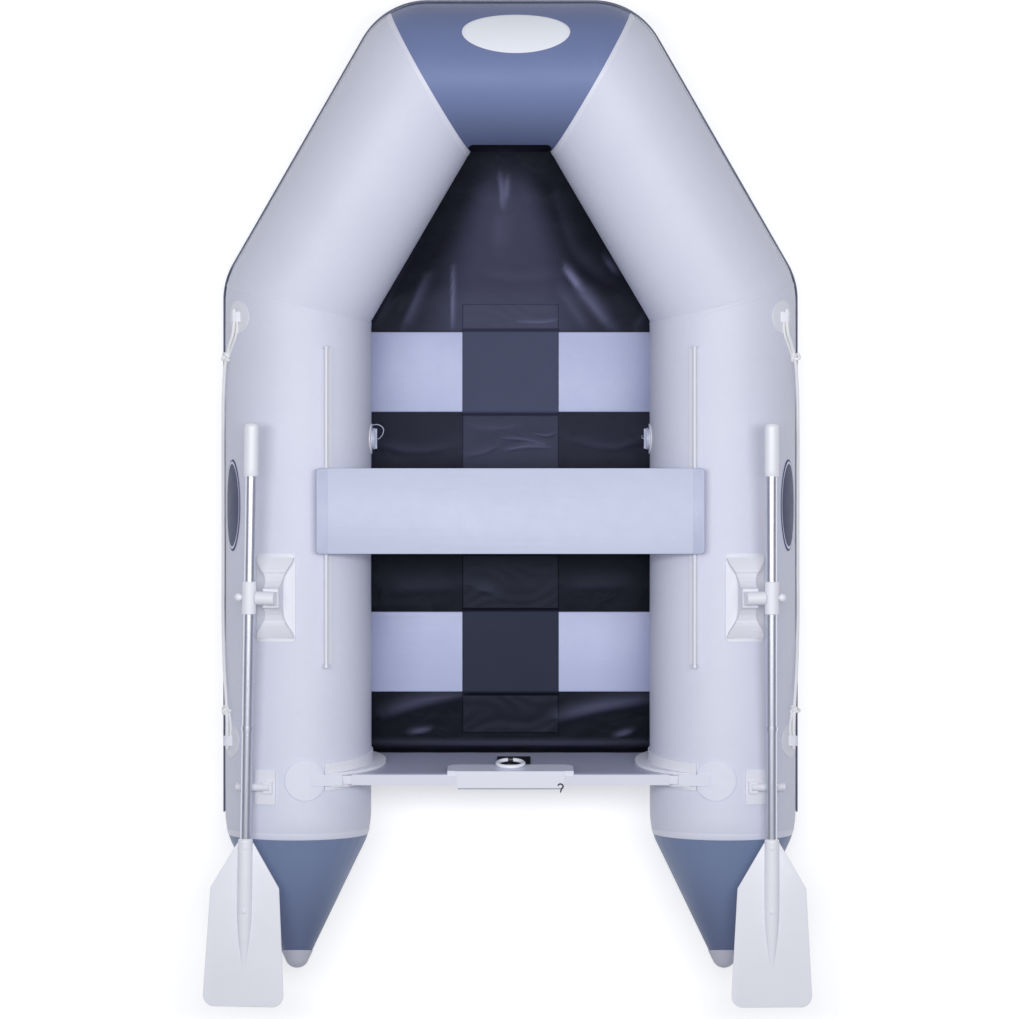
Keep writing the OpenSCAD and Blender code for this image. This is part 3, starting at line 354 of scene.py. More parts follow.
metal_paint = Paint("anodised_metal", srgb(214, 217, 230), 0.36, Metallic=1.0)
drawn = (1, 0.02, 1)  # the noise is long along the shaft
metal_paint.vary(0.04, 8).vary(0.03, 700, 2, stretch=drawn)
metal_paint.rough(metal_paint.noise(300, 2, stretch=drawn) * 0.02 + 0.36)
metal = metal_paint.done()
shadow_grey = Paint("shadow_grey", srgb(140, 142, 160), 0.45).vary(0.1, 40).done()
hook_wire = Paint("hook_wire", srgb(30, 31, 40), 0.45).vary(0.1, 40).done()

rope_paint = Paint("rope_braid", srgb(252, 252, 255), 0.7, Sheen_Weight=0.4)
around, along, _ = rope_paint.axes(uv=True)
left_lay, right_lay = ((around * math.tau * 6 + along * lay).sin() for lay in (900, -900))
strands = left_lay * right_lay * 0.5 + 0.5
# Painted shade: the grooves between the strands are painted darker
rope_paint.vary(0.05, 40).tint(strands.step(0.35, 0.0) * 0.22, srgb(170, 172, 186))
rope_finish = rope_paint.bump(strands, 0.0006).bump(rope_paint.noise(2500, 2), 0.00008).done()
print("finishes:", len(bpy.data.materials))

# %% [markdown]
# ## Making pieces
# Points and UVs are arrays, and the UVs are in metres, so that a weave has its real size.

# %% Piece builders
def add_piece(name, mesh, material, body="hull", replaces=(), sharp=None):
    mesh.name = name
    mesh.materials.append(material)
    mesh.shade_smooth()
    if sharp is not None:
        mesh.set_sharp_from_angle(angle=math.radians(sharp))
    piece = linked(name, mesh)
    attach(piece, body)
    if replaces:
        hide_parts(*replaces)
    return piece


def ramp(value, size):
    """0 at 0 and 1 at size, in a straight line between."""
    return np.clip(value / size, 0, 1)


def mesh_of(points, faces, uvs=None):
    """A mesh from points, faces and each face corner's UV."""
    mesh = bpy.data.meshes.new("piece")
    mesh.from_pydata(np.asarray(points, float).reshape(-1, 3).tolist(), [], faces)
    if uvs is not None:
        layer = mesh.uv_layers.new(name="metres")
        layer.data.foreach_set("uv", np.asarray(uvs, np.float32).reshape(-1))
    mesh.update()
    return mesh


def grid_mesh(points, u, v, wrap=False, turn=False, ends=False):
    """Quads over rows x columns of points; wrap joins the last column to the first, ends closes a tube."""
    rows, cols = points.shape[:2]
    uv = np.stack(np.broadcast_arrays(u, v), -1)
    r, c = np.meshgrid(np.arange(rows - 1), np.arange(cols if wrap else cols - 1), indexing="ij")
    r, c = r.ravel(), c.ravel()
    corners = [(r, c), (r, c + 1), (r + 1, c + 1), (r + 1, c)][::-1 if turn else 1]
    faces = np.stack([rr * cols + cc % cols for rr, cc in corners], 1).tolist()
    uvs = np.stack([uv[rr, cc] for rr, cc in corners], 1).reshape(-1, 2)
    if ends:
        faces += [list(range(cols)), list(range((rows - 1) * cols, rows * cols))[::-1]]
        uvs = np.concatenate([uvs, np.zeros((2 * cols, 2))])
    return mesh_of(points, faces, uvs)


def solid_of(outline, low, high, edge):
    """A plate over an outline of x and y, with rounded edges above and below."""
    outline = np.asarray(outline, float)
    n = len(outline)
    along = np.roll(outline, -1, 0) - np.roll(outline, 1, 0)
    inward = units(np.stack([-along[:, 1], along[:, 0]], 1))
    inward *= np.sign(((outline.mean(0) - outline) * inward).sum(1))[:, None]
    bends = [math.pi / 2 * i / 3 for i in range(4)]
    rings = [(1 - math.sin(a), low + edge * (1 - math.cos(a))) for a in bends]
    rings += [(f, high - (z - low)) for f, z in rings[::-1]]
    pts = [np.c_[outline + inward * edge * f, np.full(n, z)] for f, z in rings]
    faces = [[i * n + k, i * n + (k + 1) % n, (i + 1) * n + (k + 1) % n, (i + 1) * n + k]
             for i in range(len(pts) - 1) for k in range(n)]
    faces += [list(range(n))[::-1], [(len(pts) - 1) * n + k for k in range(n)]]
    return mesh_of(np.concatenate(pts), faces)


def round_box(w, h, r, steps=8):
    """The outline of a box with rounded corners, about 0."""
    out = []
    for k, (sx, sy) in enumerate(((1, 1), (-1, 1), (-1, -1), (1, -1))):
        a = math.pi / 2 * (k + np.linspace(0, 1, steps))
        out.append(np.c_[sx * (w / 2 - r) + r * np.cos(a), sy * (h / 2 - r) + r * np.sin(a)])
    return np.concatenate(out)


def smooth_line(points, parts=8):
    """A smooth curve through points, the one that the CAD source uses."""
    pts, out = np.asarray(points, float), []
    for i in range(len(pts) - 1):
        p, q, r, s = (pts[min(max(k, 0), len(pts) - 1)] for k in range(i - 1, i + 3))
        for k in range(parts):
            t = k / parts
            curve = (2 * p - 5 * q + 4 * r - s) * t * t + (3 * q - p - 3 * r + s) * t ** 3
            out.append(0.5 * (2 * q + (r - p) * t + curve))
    return np.array(out + [pts[-1]])


def runs_of(line):
    """How far each point of a line lies along it."""
    return np.r_[0, np.cumsum(np.linalg.norm(np.diff(line, axis=0), axis=1))]


def hose(line, radius, sides=12, closed=False):
    """A round tube along a line, its frames turned as little as possible."""
    line = np.asarray(line, float)
    ahead = units(np.roll(line, -1, 0) - np.roll(line, 1, 0) if closed else np.gradient(line, axis=0))
    side = np.cross(ahead[0], (0, 0, 1) if abs(ahead[0][2]) < 0.9 else (1, 0, 0))
    across = []
    for t in ahead:
        side = unit(side - t * (side @ t))
        across.append(side)
    ups = np.cross(across, ahead)[:, None]
    a = np.linspace(0, math.tau, sides, endpoint=False)[None, :, None]
    r = np.broadcast_to(radius, len(line))[:, None, None]
    pts = line[:, None] + r * (np.cos(a) * np.array(across)[:, None] + np.sin(a) * ups)
    if closed:
        pts, line = np.concatenate([pts, pts[:1]]), np.concatenate([line, line[:1]])
    return grid_mesh(pts, np.linspace(0, 1, sides + 1), runs_of(line)[:, None], wrap=True, turn=True, ends=not closed)


# %% [markdown]
# ## Inflated tubes
# A tube's skin is cut at each end by a mitre plane, or at a distance round its end sphere.
# On the outside of a bend the skin runs on round that sphere, as on the real seams.
# Puckers gather on the inside of the bends.

# %% Tube skins
class Tube:
    """A straight tube; first and last are a mitre plane's normal or a distance on the end sphere."""
    def __init__(self, start, end, first, last, mirror=False):
        self.start, self.end = np.asarray(start, float), np.asarray(end, float)
        self.length = np.linalg.norm(self.end - self.start)
        self.way = (self.end - self.start) / self.length
        self.up = unit(np.array((0, 0, 1)) - self.way[2] * self.way)
        self.out = np.cross(self.way, self.up)
        self.ends = (first, last)
        self.mirror = mirror

    def spread(self, theta):
        """The outward way at angles from the crown, and what each end takes off or adds there."""
        n = np.cos(theta)[..., None] * self.up + np.sin(theta)[..., None] * self.out
        found = []
        for end in self.ends:
            if np.isscalar(end):
                found += [np.zeros(theta.shape), np.full(theta.shape, math.asin(end / TUBE_R))]
            else:
                k = n @ end / abs(self.way @ end)
                found += [np.maximum(TUBE_R * k, 0), np.arctan(np.maximum(-k, 0))]
        return n, *found

    def size(self, theta):
        n, cut0, turn0, cut1, turn1 = self.spread(theta)
        return (turn0 + turn1) * TUBE_R + self.length - cut0 - cut1

    def at(self, theta, run, lift=0.0):
        """The skin's point at an angle from the crown and a run from its first end."""
        theta, run = np.broadcast_arrays(np.asarray(theta, float), np.asarray(run, float))
        n, cut0, turn0, cut1, turn1 = self.spread(theta)
        mid = self.length - cut0 - cut1
        past = run - turn0 * TUBE_R
        phi = np.where(run < turn0 * TUBE_R, run / TUBE_R - turn0, np.maximum(past - mid, 0) / TUBE_R)
        t = cut0 + np.clip(past, 0, mid)
        normal = np.cos(phi)[..., None] * n + np.sin(phi)[..., None] * self.way
        p = self.start + t[..., None] * self.way + (TUBE_R + np.asarray(lift))[..., None] * normal
        return p * MIRROR if self.mirror else p


def puckers(theta, run, size, n, ends, seed):
    """Small folds at the inside of a mitre, that fade away from it."""
    lift = np.zeros(run.shape)
    for k, end in enumerate(ends):
        if np.isscalar(end):
            continue
        away = run if k == 0 else size - run
        inside = np.clip(n @ unit(end), 0, 1) ** 0.6
        wave = np.sin(theta * 46 + 2.1 * seed + k) * (0.6 + 0.4 * np.sin(theta * 11 + seed))
        wave = wave + 0.5 * np.sin(theta * 83 + seed)
        lift += 0.0007 * inside * wave * np.exp(-away / 0.035) * ramp(away, 0.008)
    return lift


def skin(name, tube, material, replaces, seed):
    theta = np.linspace(-math.pi, math.pi, 161)
    size = tube.size(theta)
    run = np.linspace(0, 1, int(size.max() / 0.009) + 2)[:, None] * size[None, :]
    both = np.broadcast_to(theta, run.shape)
    lift = puckers(both, run, size[None, :], tube.spread(both)[0], tube.ends, seed)
    lift = lift + 0.0004 * np.sin(run * 9 + seed) * np.sin(both * 2 + seed)
    mesh = grid_mesh(tube.at(both, run, lift)[:, :-1], both * TUBE_R, run, wrap=True, turn=tube.mirror)
    return add_piece(name, mesh, material, replaces=[replaces])


def band_on(name, tube, theta, run_from, run_to, height, material, steps=6):
    """A strip glued on a tube: its runs may differ with the angle, and its edges lie on the skin."""
    share = np.linspace(0, 1, steps + 1)[:, None]
    run = (run_from + (run_to - run_from) * share) + 0 * theta
    both = np.broadcast_to(theta, run.shape)
    profile = np.r_[0, np.ones(steps - 1), 0][:, None]
    pts = tube.at(both, run, GLUE * 0.2 + height * np.broadcast_to(profile, run.shape))
    return add_piece(name, grid_mesh(pts, both * TUBE_R, run, turn=tube.mirror), material)


bend_normal = unit(np.array((0, 1, 0)) + QUARTER_DIR)
corner_normal = unit(np.array((-1, 0, 0)) + QUARTER_DIR)
bow_tube = Tube(BOW * MIRROR, BOW, -corner_normal * MIRROR, -corner_normal)
side_tubes = {side: Tube(TAPER, BEND, SEAM_BACK, bend_normal, sign < 0) for side, sign in SIDES.items()}
quarter_tubes = {side: Tube(BEND, BOW, -bend_normal, corner_normal, sign < 0) for side, sign in SIDES.items()}

skins = [skin("bow_skin", bow_tube, panel_fabric, "bow_tube", 3)]
for number, side in enumerate(SIDES, 1):
    for tag, tube, seed in (("side", side_tubes[side], number), ("quarter", quarter_tubes[side], 4 + number)):
        skins.append(skin(f"{side}_{tag}_skin", tube, tube_fabric, f"{side}_{tag}_tube", seed))
print("tube skins:", len(skins), "with", sum(len(c.data.vertices) for c in skins), "points")


# %% [markdown]
# The stern cones share the tubes' end spheres, and end in round rubber-capped tips.

# %% Stern cones
def cone_profile(share, first):
    """Radius and height along a cone's side, from an angle on the end sphere to the tip."""
    ball, side = (CONE_ANGLE - first) * TUBE_R, TIP_RUN * math.cos(CONE_ANGLE)
    tip = (math.pi / 2 - CONE_ANGLE) * TIP_R
    s = share * (ball + side + tip)
    a = first + np.minimum(s, ball) / TUBE_R
    t = np.clip(s - ball, 0, side) / side
    b = CONE_ANGLE + np.clip(s - ball - side, 0, tip) / TIP_R
    places = [s < ball, s < ball + side]
    rho = np.select(places, [TUBE_R * np.cos(a), (TUBE_R + (TIP_R - TUBE_R) * t) * math.cos(CONE_ANGLE)],
                    TIP_R * np.cos(b))
    foot, top = TUBE_R * math.sin(CONE_ANGLE), TIP_RUN + TIP_R * math.sin(CONE_ANGLE)
    return rho, np.select(places, [TUBE_R * np.sin(a), foot * (1 - t) + top * t], TIP_RUN + TIP_R * np.sin(b)), s


level, abeam = np.array((0.0, 0, 1)), np.array((1.0, 0, 0))
cone_up = np.array((0, math.sin(CONE_LIFT), math.cos(CONE_LIFT)))
theta = np.linspace(-math.pi, math.pi, 145)
a, b = -np.cos(theta) * cone_up[1], cone_up[2]
seam = np.arctan2(b, a) - np.arccos(SEAM_BACK / TUBE_R / np.hypot(a, b))
rho, h, s = cone_profile(np.linspace(0, 1, 64)[:, None], seam[None, :])
n = np.cos(theta)[:, None] * cone_up + np.sin(theta)[:, None] * abeam
lift = 0.0004 * np.sin(theta * 30) * np.exp(-((s - 0.02) / 0.03) ** 2)
cone = TAPER + (rho + lift)[..., None] * n + h[..., None] * CONE_DIR
for side, sign in SIDES.items():
    pts = cone * (1 if sign > 0 else MIRROR)
    mesh = grid_mesh(pts[:, :-1], theta * TUBE_R, s, wrap=True, turn=sign > 0)
    add_piece(side + "_cone_skin", mesh, panel_fabric, replaces=[side + "_stern_cone"])
    band_on(side + "_stern_weld", side_tubes[side], theta, 0.0002, 0.016, 0.0007, weld_fabric)

# %% [markdown]
# Welds cover the mitres, and tapes run along the joint with the floor.

# %% Welds and tapes
turns = np.linspace(-math.pi, math.pi, 161)
low = np.radians(np.linspace(-176, -152, 12))
for side in SIDES:
    q, s = quarter_tubes[side], side_tubes[side]
    for name, tube, wide, high, material in (("_bow_weld", q, 0.014, 0.0007, weld_fabric),
                                             ("_bend_weld", s, 0.012, 0.0006, tube_fabric)):
        size = tube.size(turns)
        band_on(side + name, tube, turns, size - wide, size - 0.0001, high, material)
    for tag, tube, first in (("side", s, 0.28), ("quarter", q, 0.004)):
        last = tube.size(low) - 0.004
        band_on(f"{side}_{tag}_floor_tape", tube, low, first, last, 0.0006, patch_fabric, steps=80)
print("welds and tapes made")


# %% [markdown]
# The rubbing strake runs round the hull at its widest line: a ribbed strip on the CAD strake's stations.

# %% Rubbing strake
def turned(point, a, b, up_a, up_b, n):
    """Stations at one point, turning from one outward and upward way to another in n steps."""
    a, b, up_a, up_b = (np.asarray(v) for v in (a, b, up_a, up_b))
    return [(point, unit(a + (b - a) * i / n), unit(up_a + (up_b - up_a) * i / n)) for i in range(n + 1)]


bow_up = np.array((0, -math.sin(BOW_SLOPE), math.cos(BOW_SLOPE)))
bow_out = np.array((0, math.cos(BOW_SLOPE), math.sin(BOW_SLOPE)))
quarter_out = np.cross(QUARTER_DIR, bow_up)
half = [(TAPER, abeam, level), (np.array((AXIS_X, -0.2, TUBE_R)), abeam, level)]
half += turned(BEND, abeam, quarter_out, level, bow_up, 12) + turned(BOW, quarter_out, bow_out, bow_up, bow_up, 20)
stations = half + [tuple(v * MIRROR for v in station) for station in half[::-1]]
v = np.linspace(-1, 1, 33)
rib = 0.0032 + 0.0015 * np.cos(v * math.pi / 2) ** 0.7 - 0.0007 * (np.cos(v * math.tau * 2.5) > 0.55)
profile = [(0.0007, -0.012)] + [(0.0007 + r, w * 0.0117) for r, w in zip(rib, v)] + [(0.0007, 0.012)]
strake = np.array([[p + (TUBE_R + o) * out + w * up for o, w in profile] for p, out, up in stations])
run = runs_of(strake[:, 17])
mesh = grid_mesh(strake, run[:, None], np.linspace(0, 0.03, len(profile)))
add_piece("rubbing_strip", mesh, strake_rubber, replaces=["rubbing_strake"], sharp=40)
print("strake length:", round(float(run[-1]), 3), "m")

# %% [markdown]
# ## Floor
# One coated sheet from the transom to the bow, with tension folds where it turns up at the crease.
# It lies flat under the slats.

# %% Floor sheet
FOLDS = [  # a fold's points and half width in mm, its height in 0.1 mm, and its painted shine in hundredths
    ([(-28, 797), (-23, 764), (-21, 723)], 6, 16, 45),
    ([(-9, 793), (-11, 745)], 5, 14, 40),
    ([(-26, 710), (-33, 620)], 20, 10, 10),
    ([(133, 575), (151, 550), (168, 528)], 7, 20, 90),
    ([(163, 526), (195, 492), (242, 435)], 13, 36, 50),
    ([(110, 740), (160, 610), (240, 540)], 14, 24, 8),
    ([(232, 596), (258, 565)], 7, 18, 32),
    ([(121, 519), (158, 470), (183, 433)], 12, 22, 16),
    ([(330, 470), (310, 440)], 10, 20, 10),
    ([(-205, 555), (-237, 492), (-264, 435)], 10, 26, 26),
    ([(-142, 580), (-143, 500), (-144, 435)], 4, 20, 50),
    ([(-330, 445), (-290, 520), (-230, 640)], 12, 26, 5),
    ([(-60, 560), (10, 548), (120, 556)], 10, 8, 5),
    ([(-312, -520), (-222, -490), (-124, -470)], 13, 36, 26),
    ([(121, -527), (220, -502), (345, -483)], 12, 36, 34),
    ([(-247, -564), (-198, -556)], 5, 18, 40),
    ([(259, -571), (298, -561)], 5, 18, 45),
    ([(-400, -589), (-100, -590), (150, -590), (400, -589)], 4, 26, 22),
    ([(-310, -215), (-129, -203)], 16, 12, 6),
    ([(140, -205), (280, -200)], 16, 12, 6),
    ([(-400, 170), (-250, 130), (-130, 145)], 14, 20, 7),
    ([(140, 160), (260, 140), (400, 190)], 13, 20, 7),
    ([(-19, 160), (30, 157), (81, 148)], 5, 22, 24),
    ([(-9, 131), (40, 139), (92, 137)], 5, 22, 30),
    ([(-109, 118), (-70, 124), (-31, 142)], 8, 18, 12),
    ([(60, 171), (88, 166), (108, 172)], 4, 18, 22),
    ([(20, 447), (70, 444), (112, 449)], 4, 14, 30),
    ([(-100, 190), (-40, 184), (20, 190)], 8, 10, 10),
    ([(-85, -208), (-36, -222)], 10, 12, 7),
]


def ridge(x, y, line, wide, high):
    """A fold along a line: steep on one side, soft on the other, fading at its ends."""
    line = smooth_line([(a / 1000, b / 1000, 0) for a, b in line], 6)[:, :2]
    best, side, along = np.full(x.shape, 9.0), np.zeros(x.shape), np.zeros(x.shape)
    total = len(line) - 1
    for i in range(total):
        a, d = line[i], line[i + 1] - line[i]
        t = np.clip(((x - a[0]) * d[0] + (y - a[1]) * d[1]) / (d @ d), 0, 1)
        px, py = x - a[0] - t * d[0], y - a[1] - t * d[1]
        far = np.hypot(px, py)
        near = far < best
        best = np.where(near, far, best)
        side = np.where(near, np.sign(px * d[1] - py * d[0]), side)
        along = np.where(near, (i + t) / total, along)
    width = wide * np.where(side > 0, 0.75, 1.5)
    return high * np.exp(-(best / width) ** 2) * np.sin(np.clip(along, 0.06, 0.94) * math.pi) ** 0.5


def off_slats(y):
    """How far a place lies fore or aft of each slat's edge."""
    return [np.abs(y - SLAT_Y - place * SLAT_PITCH) - SLAT_W / 2 for place in (-1, 0, 1)]


def floor_relief(x, y):
    """The floor's folds and slight waves, flat under the slats and at the transom."""
    lift = np.zeros(x.shape)
    for line, wide, high, _ in FOLDS:
        lift += ridge(x, y, line, wide / 1000, high / 10000)
    waves = np.sin(x * 31 + 3 * np.sin(y * 17)) * np.sin(y * 43 + 2 * np.sin(x * 23)) + 1
    lift += 0.0006 * waves * (np.sin(x * 7 + 1) * np.sin(y * 9) * 0.5 + 0.5)
    for away in off_slats(y):
        lift = lift * ramp(away - 0.001, 0.012)
    return lift * ramp(y - TRANSOM_Y - 0.003, 0.010)


def painted_floor_sheen(x, y):
    """Painted sheen: lighter along the folds, and in a broad band up the middle of the bow, where the lamps'
    reflections fall.
    """
    half = 0.27 - 0.5 * np.clip(y - 0.43, 0, 0.4)
    off = ramp(np.abs(x + 0.01) / half - 0.35, 0.65)
    painted_sheen = 0.25 * (1 - off * off * (3 - 2 * off)) * ramp(y - 0.40, 0.03) * ramp(0.835 - y, 0.09)
    painted_sheen += 0.062 * ramp(y - 0.05, 0.08) * np.clip((0.45 - y) / 0.08, 0.3, 1)
    for line, wide, _, shine in FOLDS:
        painted_sheen += ridge(x, y, line, wide / 1000 * 1.1, shine / 100)
    return np.clip(painted_sheen, 0, 1)


def carry(piece, values):
    """Stores a value, or one for each of a piece's points, for its finish to read as painted sheen."""
    layer = piece.data.attributes.new("painted_sheen", "FLOAT", "POINT")
    values = np.broadcast_to(np.ravel(values), len(piece.data.vertices))
    layer.data.foreach_set("value", values.astype(np.float32))


def thicken(piece, thickness):
    """Gives a sheet its thickness, below its upper face."""
    solid = piece.modifiers.new("thickness", "SOLIDIFY")
    solid.thickness, solid.offset = thickness, -1


corner = AXIS_X - FLOOR_HALF
bow_spread = math.atan2((AXIS_X - BOW[0]) * math.cos(BOW_SLOPE), QUARTER_RUN)
turn_v = FLOOR_DROP * math.tan(BOW_SLOPE / 2) - corner * math.tan(bow_spread / 2)
front_v = FLOOR_DROP * math.tan(BOW_SLOPE / 2) + QUARTER_RUN / math.cos(BOW_SLOPE) - corner
aft = np.linspace(TRANSOM_Y - 0.019, CREASE_Y, 190)
rise = np.linspace(0, front_v, 86)[1:]
base_y = np.r_[aft, CREASE_Y + rise * math.cos(BOW_SLOPE)]
along = np.r_[aft - CREASE_Y, rise]
soft_rise = np.where(np.abs(along) < 0.04, (along + 0.04) ** 2 / 0.16, np.maximum(along, 0))
base_z = FLOOR_TOP + math.sin(BOW_SLOPE) * soft_rise
half_at = np.r_[np.full(len(aft), FLOOR_HALF), FLOOR_HALF - np.maximum(rise - turn_v, 0) * math.tan(bow_spread)]
share = np.linspace(-1, 1, 151)
x = share[None, :] * half_at[:, None]
y = np.broadcast_to(base_y[:, None], x.shape)
edge = ramp((1 - np.abs(share)) * half_at[:, None], 0.02)
edge = edge * ramp(front_v - (y - CREASE_Y) / math.cos(BOW_SLOPE), 0.02)
pts = np.stack([x, y, base_z[:, None] + floor_relief(x, y) * edge], -1)
run_y = np.r_[0, np.cumsum(np.hypot(np.diff(base_y), np.diff(base_z)))]
floor_cloth = add_piece("floor_cloth", grid_mesh(pts, x, run_y[:, None]), floor_fabric,
                        replaces=["floor_sheet", "bow_floor_sheet"])
carry(floor_cloth, painted_floor_sheen(x, y))
thicken(floor_cloth, 0.0012)

# The flap that ties the floor to the transom
u, w = np.linspace(-0.366, 0.366, 120)[None, :], np.linspace(0.0, 0.047, 9)[:, None]
lean = np.array((0, -math.sin(RAKE), math.cos(RAKE)))
face = np.array((0, math.cos(RAKE), math.sin(RAKE)))
height = 0.012 + w * (1 - 0.02 * np.cos(u * 60))
off = 0.0015 + 0.0009 * (1 + np.sin(u * 47 + 2 * np.sin(u * 19))) * np.clip(1 - w / 0.05, 0, 1)
pts = np.array((0, TRANSOM_Y, 0)) + u[..., None] * abeam + height[..., None] * lean + off[..., None] * face
flap = add_piece("transom_flap", grid_mesh(pts, u, w, turn=True), floor_fabric)
carry(flap, 0)

# A dark band of floor fabric up the bow tube's inner side, shaped as the floor sheet's welded edge: painted shadow of
# the gap between the tube and the floor
rolled = np.radians(np.linspace(72, 158, 44))
inset = 0.002 + 0.016 * ramp(math.radians(82) - rolled, math.radians(10)) ** 2
far_edge = bow_tube.size(rolled) - inset
carry(band_on("bow_floor_shadow_band", bow_tube, rolled, inset, far_edge, 0.0006, floor_fabric, steps=24), 0)

# %% [markdown]
# ## Slats and their sleeve

# %% Slats and sleeve
for tag, place in (("fore", 1), ("middle", 0), ("aft", -1)):
    outline = round_box(SLAT_LEN, SLAT_W, 0.012) + (0, SLAT_Y + place * SLAT_PITCH)
    mesh = solid_of(outline, FLOOR_TOP + GLUE * 0.1, FLOOR_TOP + SLAT_T, 0.0022)
    add_piece(tag + "_slat_board", mesh, slat_board, replaces=[tag + "_slat"], sharp=40)

sleeve_from, sleeve_to = (corner[1] + end * 0.001 for corner, end in zip(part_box("slat_sleeve"), (1, -1)))
x, y = np.meshgrid(np.linspace(-SLEEVE_HALF, SLEEVE_HALF, 96), np.arange(sleeve_from, sleeve_to, 0.0022))
on_slat = np.zeros(y.shape)
for away in off_slats(y):
    on_slat = np.maximum(on_slat, 1 - ramp(away - 0.0012, 0.0075) ** 0.8)
hem = ramp(SLEEVE_HALF - np.abs(x), 0.006)
crinkle = 0.0003 * (1 + np.sin(x * 60 + 4 * np.sin(y * 40)) * np.sin(y * 80 + 3 * np.sin(x * 30)))
stitching = 0.0003 * (np.abs(np.abs(x) - SLEEVE_HALF + 0.005) < 0.004)
relief = (1 - on_slat) * (floor_relief(x, y) * 0.9 + crinkle * hem)
z = FLOOR_TOP + 0.0014 + on_slat * SLAT_T + relief + stitching
mesh = grid_mesh(np.stack([x, y, z], -1), x, y)
sleeve = add_piece("slat_sleeve_cloth", mesh, sleeve_fabric, replaces=["slat_sleeve"])
# The sleeve carries the floor's painted sheen, with a little more between the middle and fore slats
carry(sleeve, painted_floor_sheen(x, y) * 0.9 + 0.08 * ((y > 0.05) & (y < 0.3)))
thicken(sleeve, 0.001)
print("slats and sleeve made")

# %% [markdown]
# ## Seat

# %% Seat board with its end caps
CAP_LEN, CAP_ROUND = 0.0315, 0.010


def seat_piece(name, outline, low, high, edge, material, replaces=()):
    mesh = solid_of(outline + (0, SEAT_Y), low, high, edge)
    add_piece(name, mesh, material, body="seat", replaces=replaces, sharp=40)


plank = round_box(SEAT_LEN - 0.054, SEAT_W - 0.0012, 0.003, 3)
seat_piece("seat_plank", plank, SEAT_Z + 0.0004, SEAT_Z + SEAT_T + 0.0002, 0.0008, seat_plank, ["seat_board"])
for side, sign in SIDES.items():
    cap = round_box(CAP_LEN, SEAT_W, CAP_ROUND)
    square = (cap[:, 0] * sign < 0) & (np.abs(cap[:, 1]) > SEAT_W / 2 - CAP_ROUND - 0.0001)
    cap[square, 1] = np.sign(cap[square, 1]) * (SEAT_W / 2)
    cap = cap[np.r_[True, np.linalg.norm(np.diff(cap, axis=0), axis=1) > 1e-6]]
    cap = cap + (sign * (SEAT_LEN - CAP_LEN) / 2, 0)
    seat_piece(side + "_seat_cap", cap, SEAT_Z, SEAT_Z + SEAT_T, 0.0022, grey_plastic)
print("seat made")

# %% [markdown]
# ## Oar blades
# Each blade lies in its oar's own frame, as in the CAD source: a thin plate with a rounded socket.

# %% Blades
LEAN = math.radians(14)
OARLOCK_Y, ARM, PIN_UP = -0.22277, 0.047, 0.230
REST_DROP, REST_BACK, REST_GAP = 47, 446, 21.8  # mm down and back from the pin to the rest, and between axes
PITCH = math.atan2(REST_DROP, REST_BACK) - math.asin(REST_GAP / math.hypot(REST_DROP, REST_BACK))
YAWS = {"starboard": math.radians(1.1), "port": math.radians(2.0)}
NECK, REACH = 0.567, 0.972


def turn(axis, angle):
    c, s = math.cos(angle), math.sin(angle)
    m = np.eye(4)
    i, j = {"x": (1, 2), "y": (2, 0), "z": (0, 1)}[axis]
    m[i, i] = m[j, j] = c
    m[i, j], m[j, i] = -s, s
    return m


def shift(x, y, z):
    m = np.eye(4)
    m[:3, 3] = x, y, z
    return m


def oar_matrix(side):
    """An oar's own frame: its pin at 0, its grip along +Y and its blade along -Y."""
    lock = shift(AXIS_X, OARLOCK_Y, TUBE_R) @ turn("y", LEAN) @ turn("z", YAWS[side])
    return lock @ shift(ARM, 0, PIN_UP) @ turn("x", PITCH)


def moved(mesh, change):
    """Sends a mesh's points through a function."""
    co = change(np.array([v.co for v in mesh.vertices]))
    mesh.vertices.foreach_set("co", co.astype(np.float32).ravel())
    mesh.update()
    return mesh


def placed(mesh, matrix, side):
    """Moves a mesh into place, on the port side as a mirror image."""
    m = matrix if side == "starboard" else np.diag((-1, 1, 1, 1)) @ matrix
    if side == "port":
        mesh.flip_normals()
    return moved(mesh, lambda co: co @ m[:3, :3].T + m[:3, 3])


def arc(cx, cy, r, a0, a1, n=10):
    a = np.radians(np.linspace(a0, a1, n))
    return np.c_[cx + r * np.cos(a), cy + r * np.sin(a)]


shoulder = [(0.0150, -NECK - 0.008), (0.0190, -NECK - 0.012)]
corners = arc(0.069, -NECK - 0.122, 0.012, 30, 3), arc(0.067, -REACH + 0.031, 0.028, 0, -80)
blade_side = np.concatenate([shoulder, *corners])
blade_line = np.concatenate([blade_side, blade_side[::-1] * (-1, 1)])
# The socket's half width at runs from the neck, and how far its height falls short of round
SOCKET = np.array([(0, 105), (1, 150), (4, 172), (10, 175), (30, 175), (60, 177), (100, 178), (150, 176), (190, 172),
                   (235, 142), (265, 106), (295, 70), (315, 46), (328, 28), (335, 8)]) / (1000, 10000)
socket_run = np.linspace(0, SOCKET[-1, 0], 90)
# The grip is a plain sleeve with a rounded end
rounding = np.linspace(0, 0.98, 8)[1:]
grip_run = np.r_[0.285, 0.2851, np.linspace(0.2875, 0.398, 10), np.linspace(0.398, 0.409, 8)[1:]]
grip_fat = np.r_[0.0130, 0.0160, np.full(10, 0.0170), 0.0170 - 0.011 * (1 - np.sqrt(1 - rounding ** 2))]


def along_y(run):
    return np.c_[np.zeros(len(run)), run, np.zeros(len(run))]


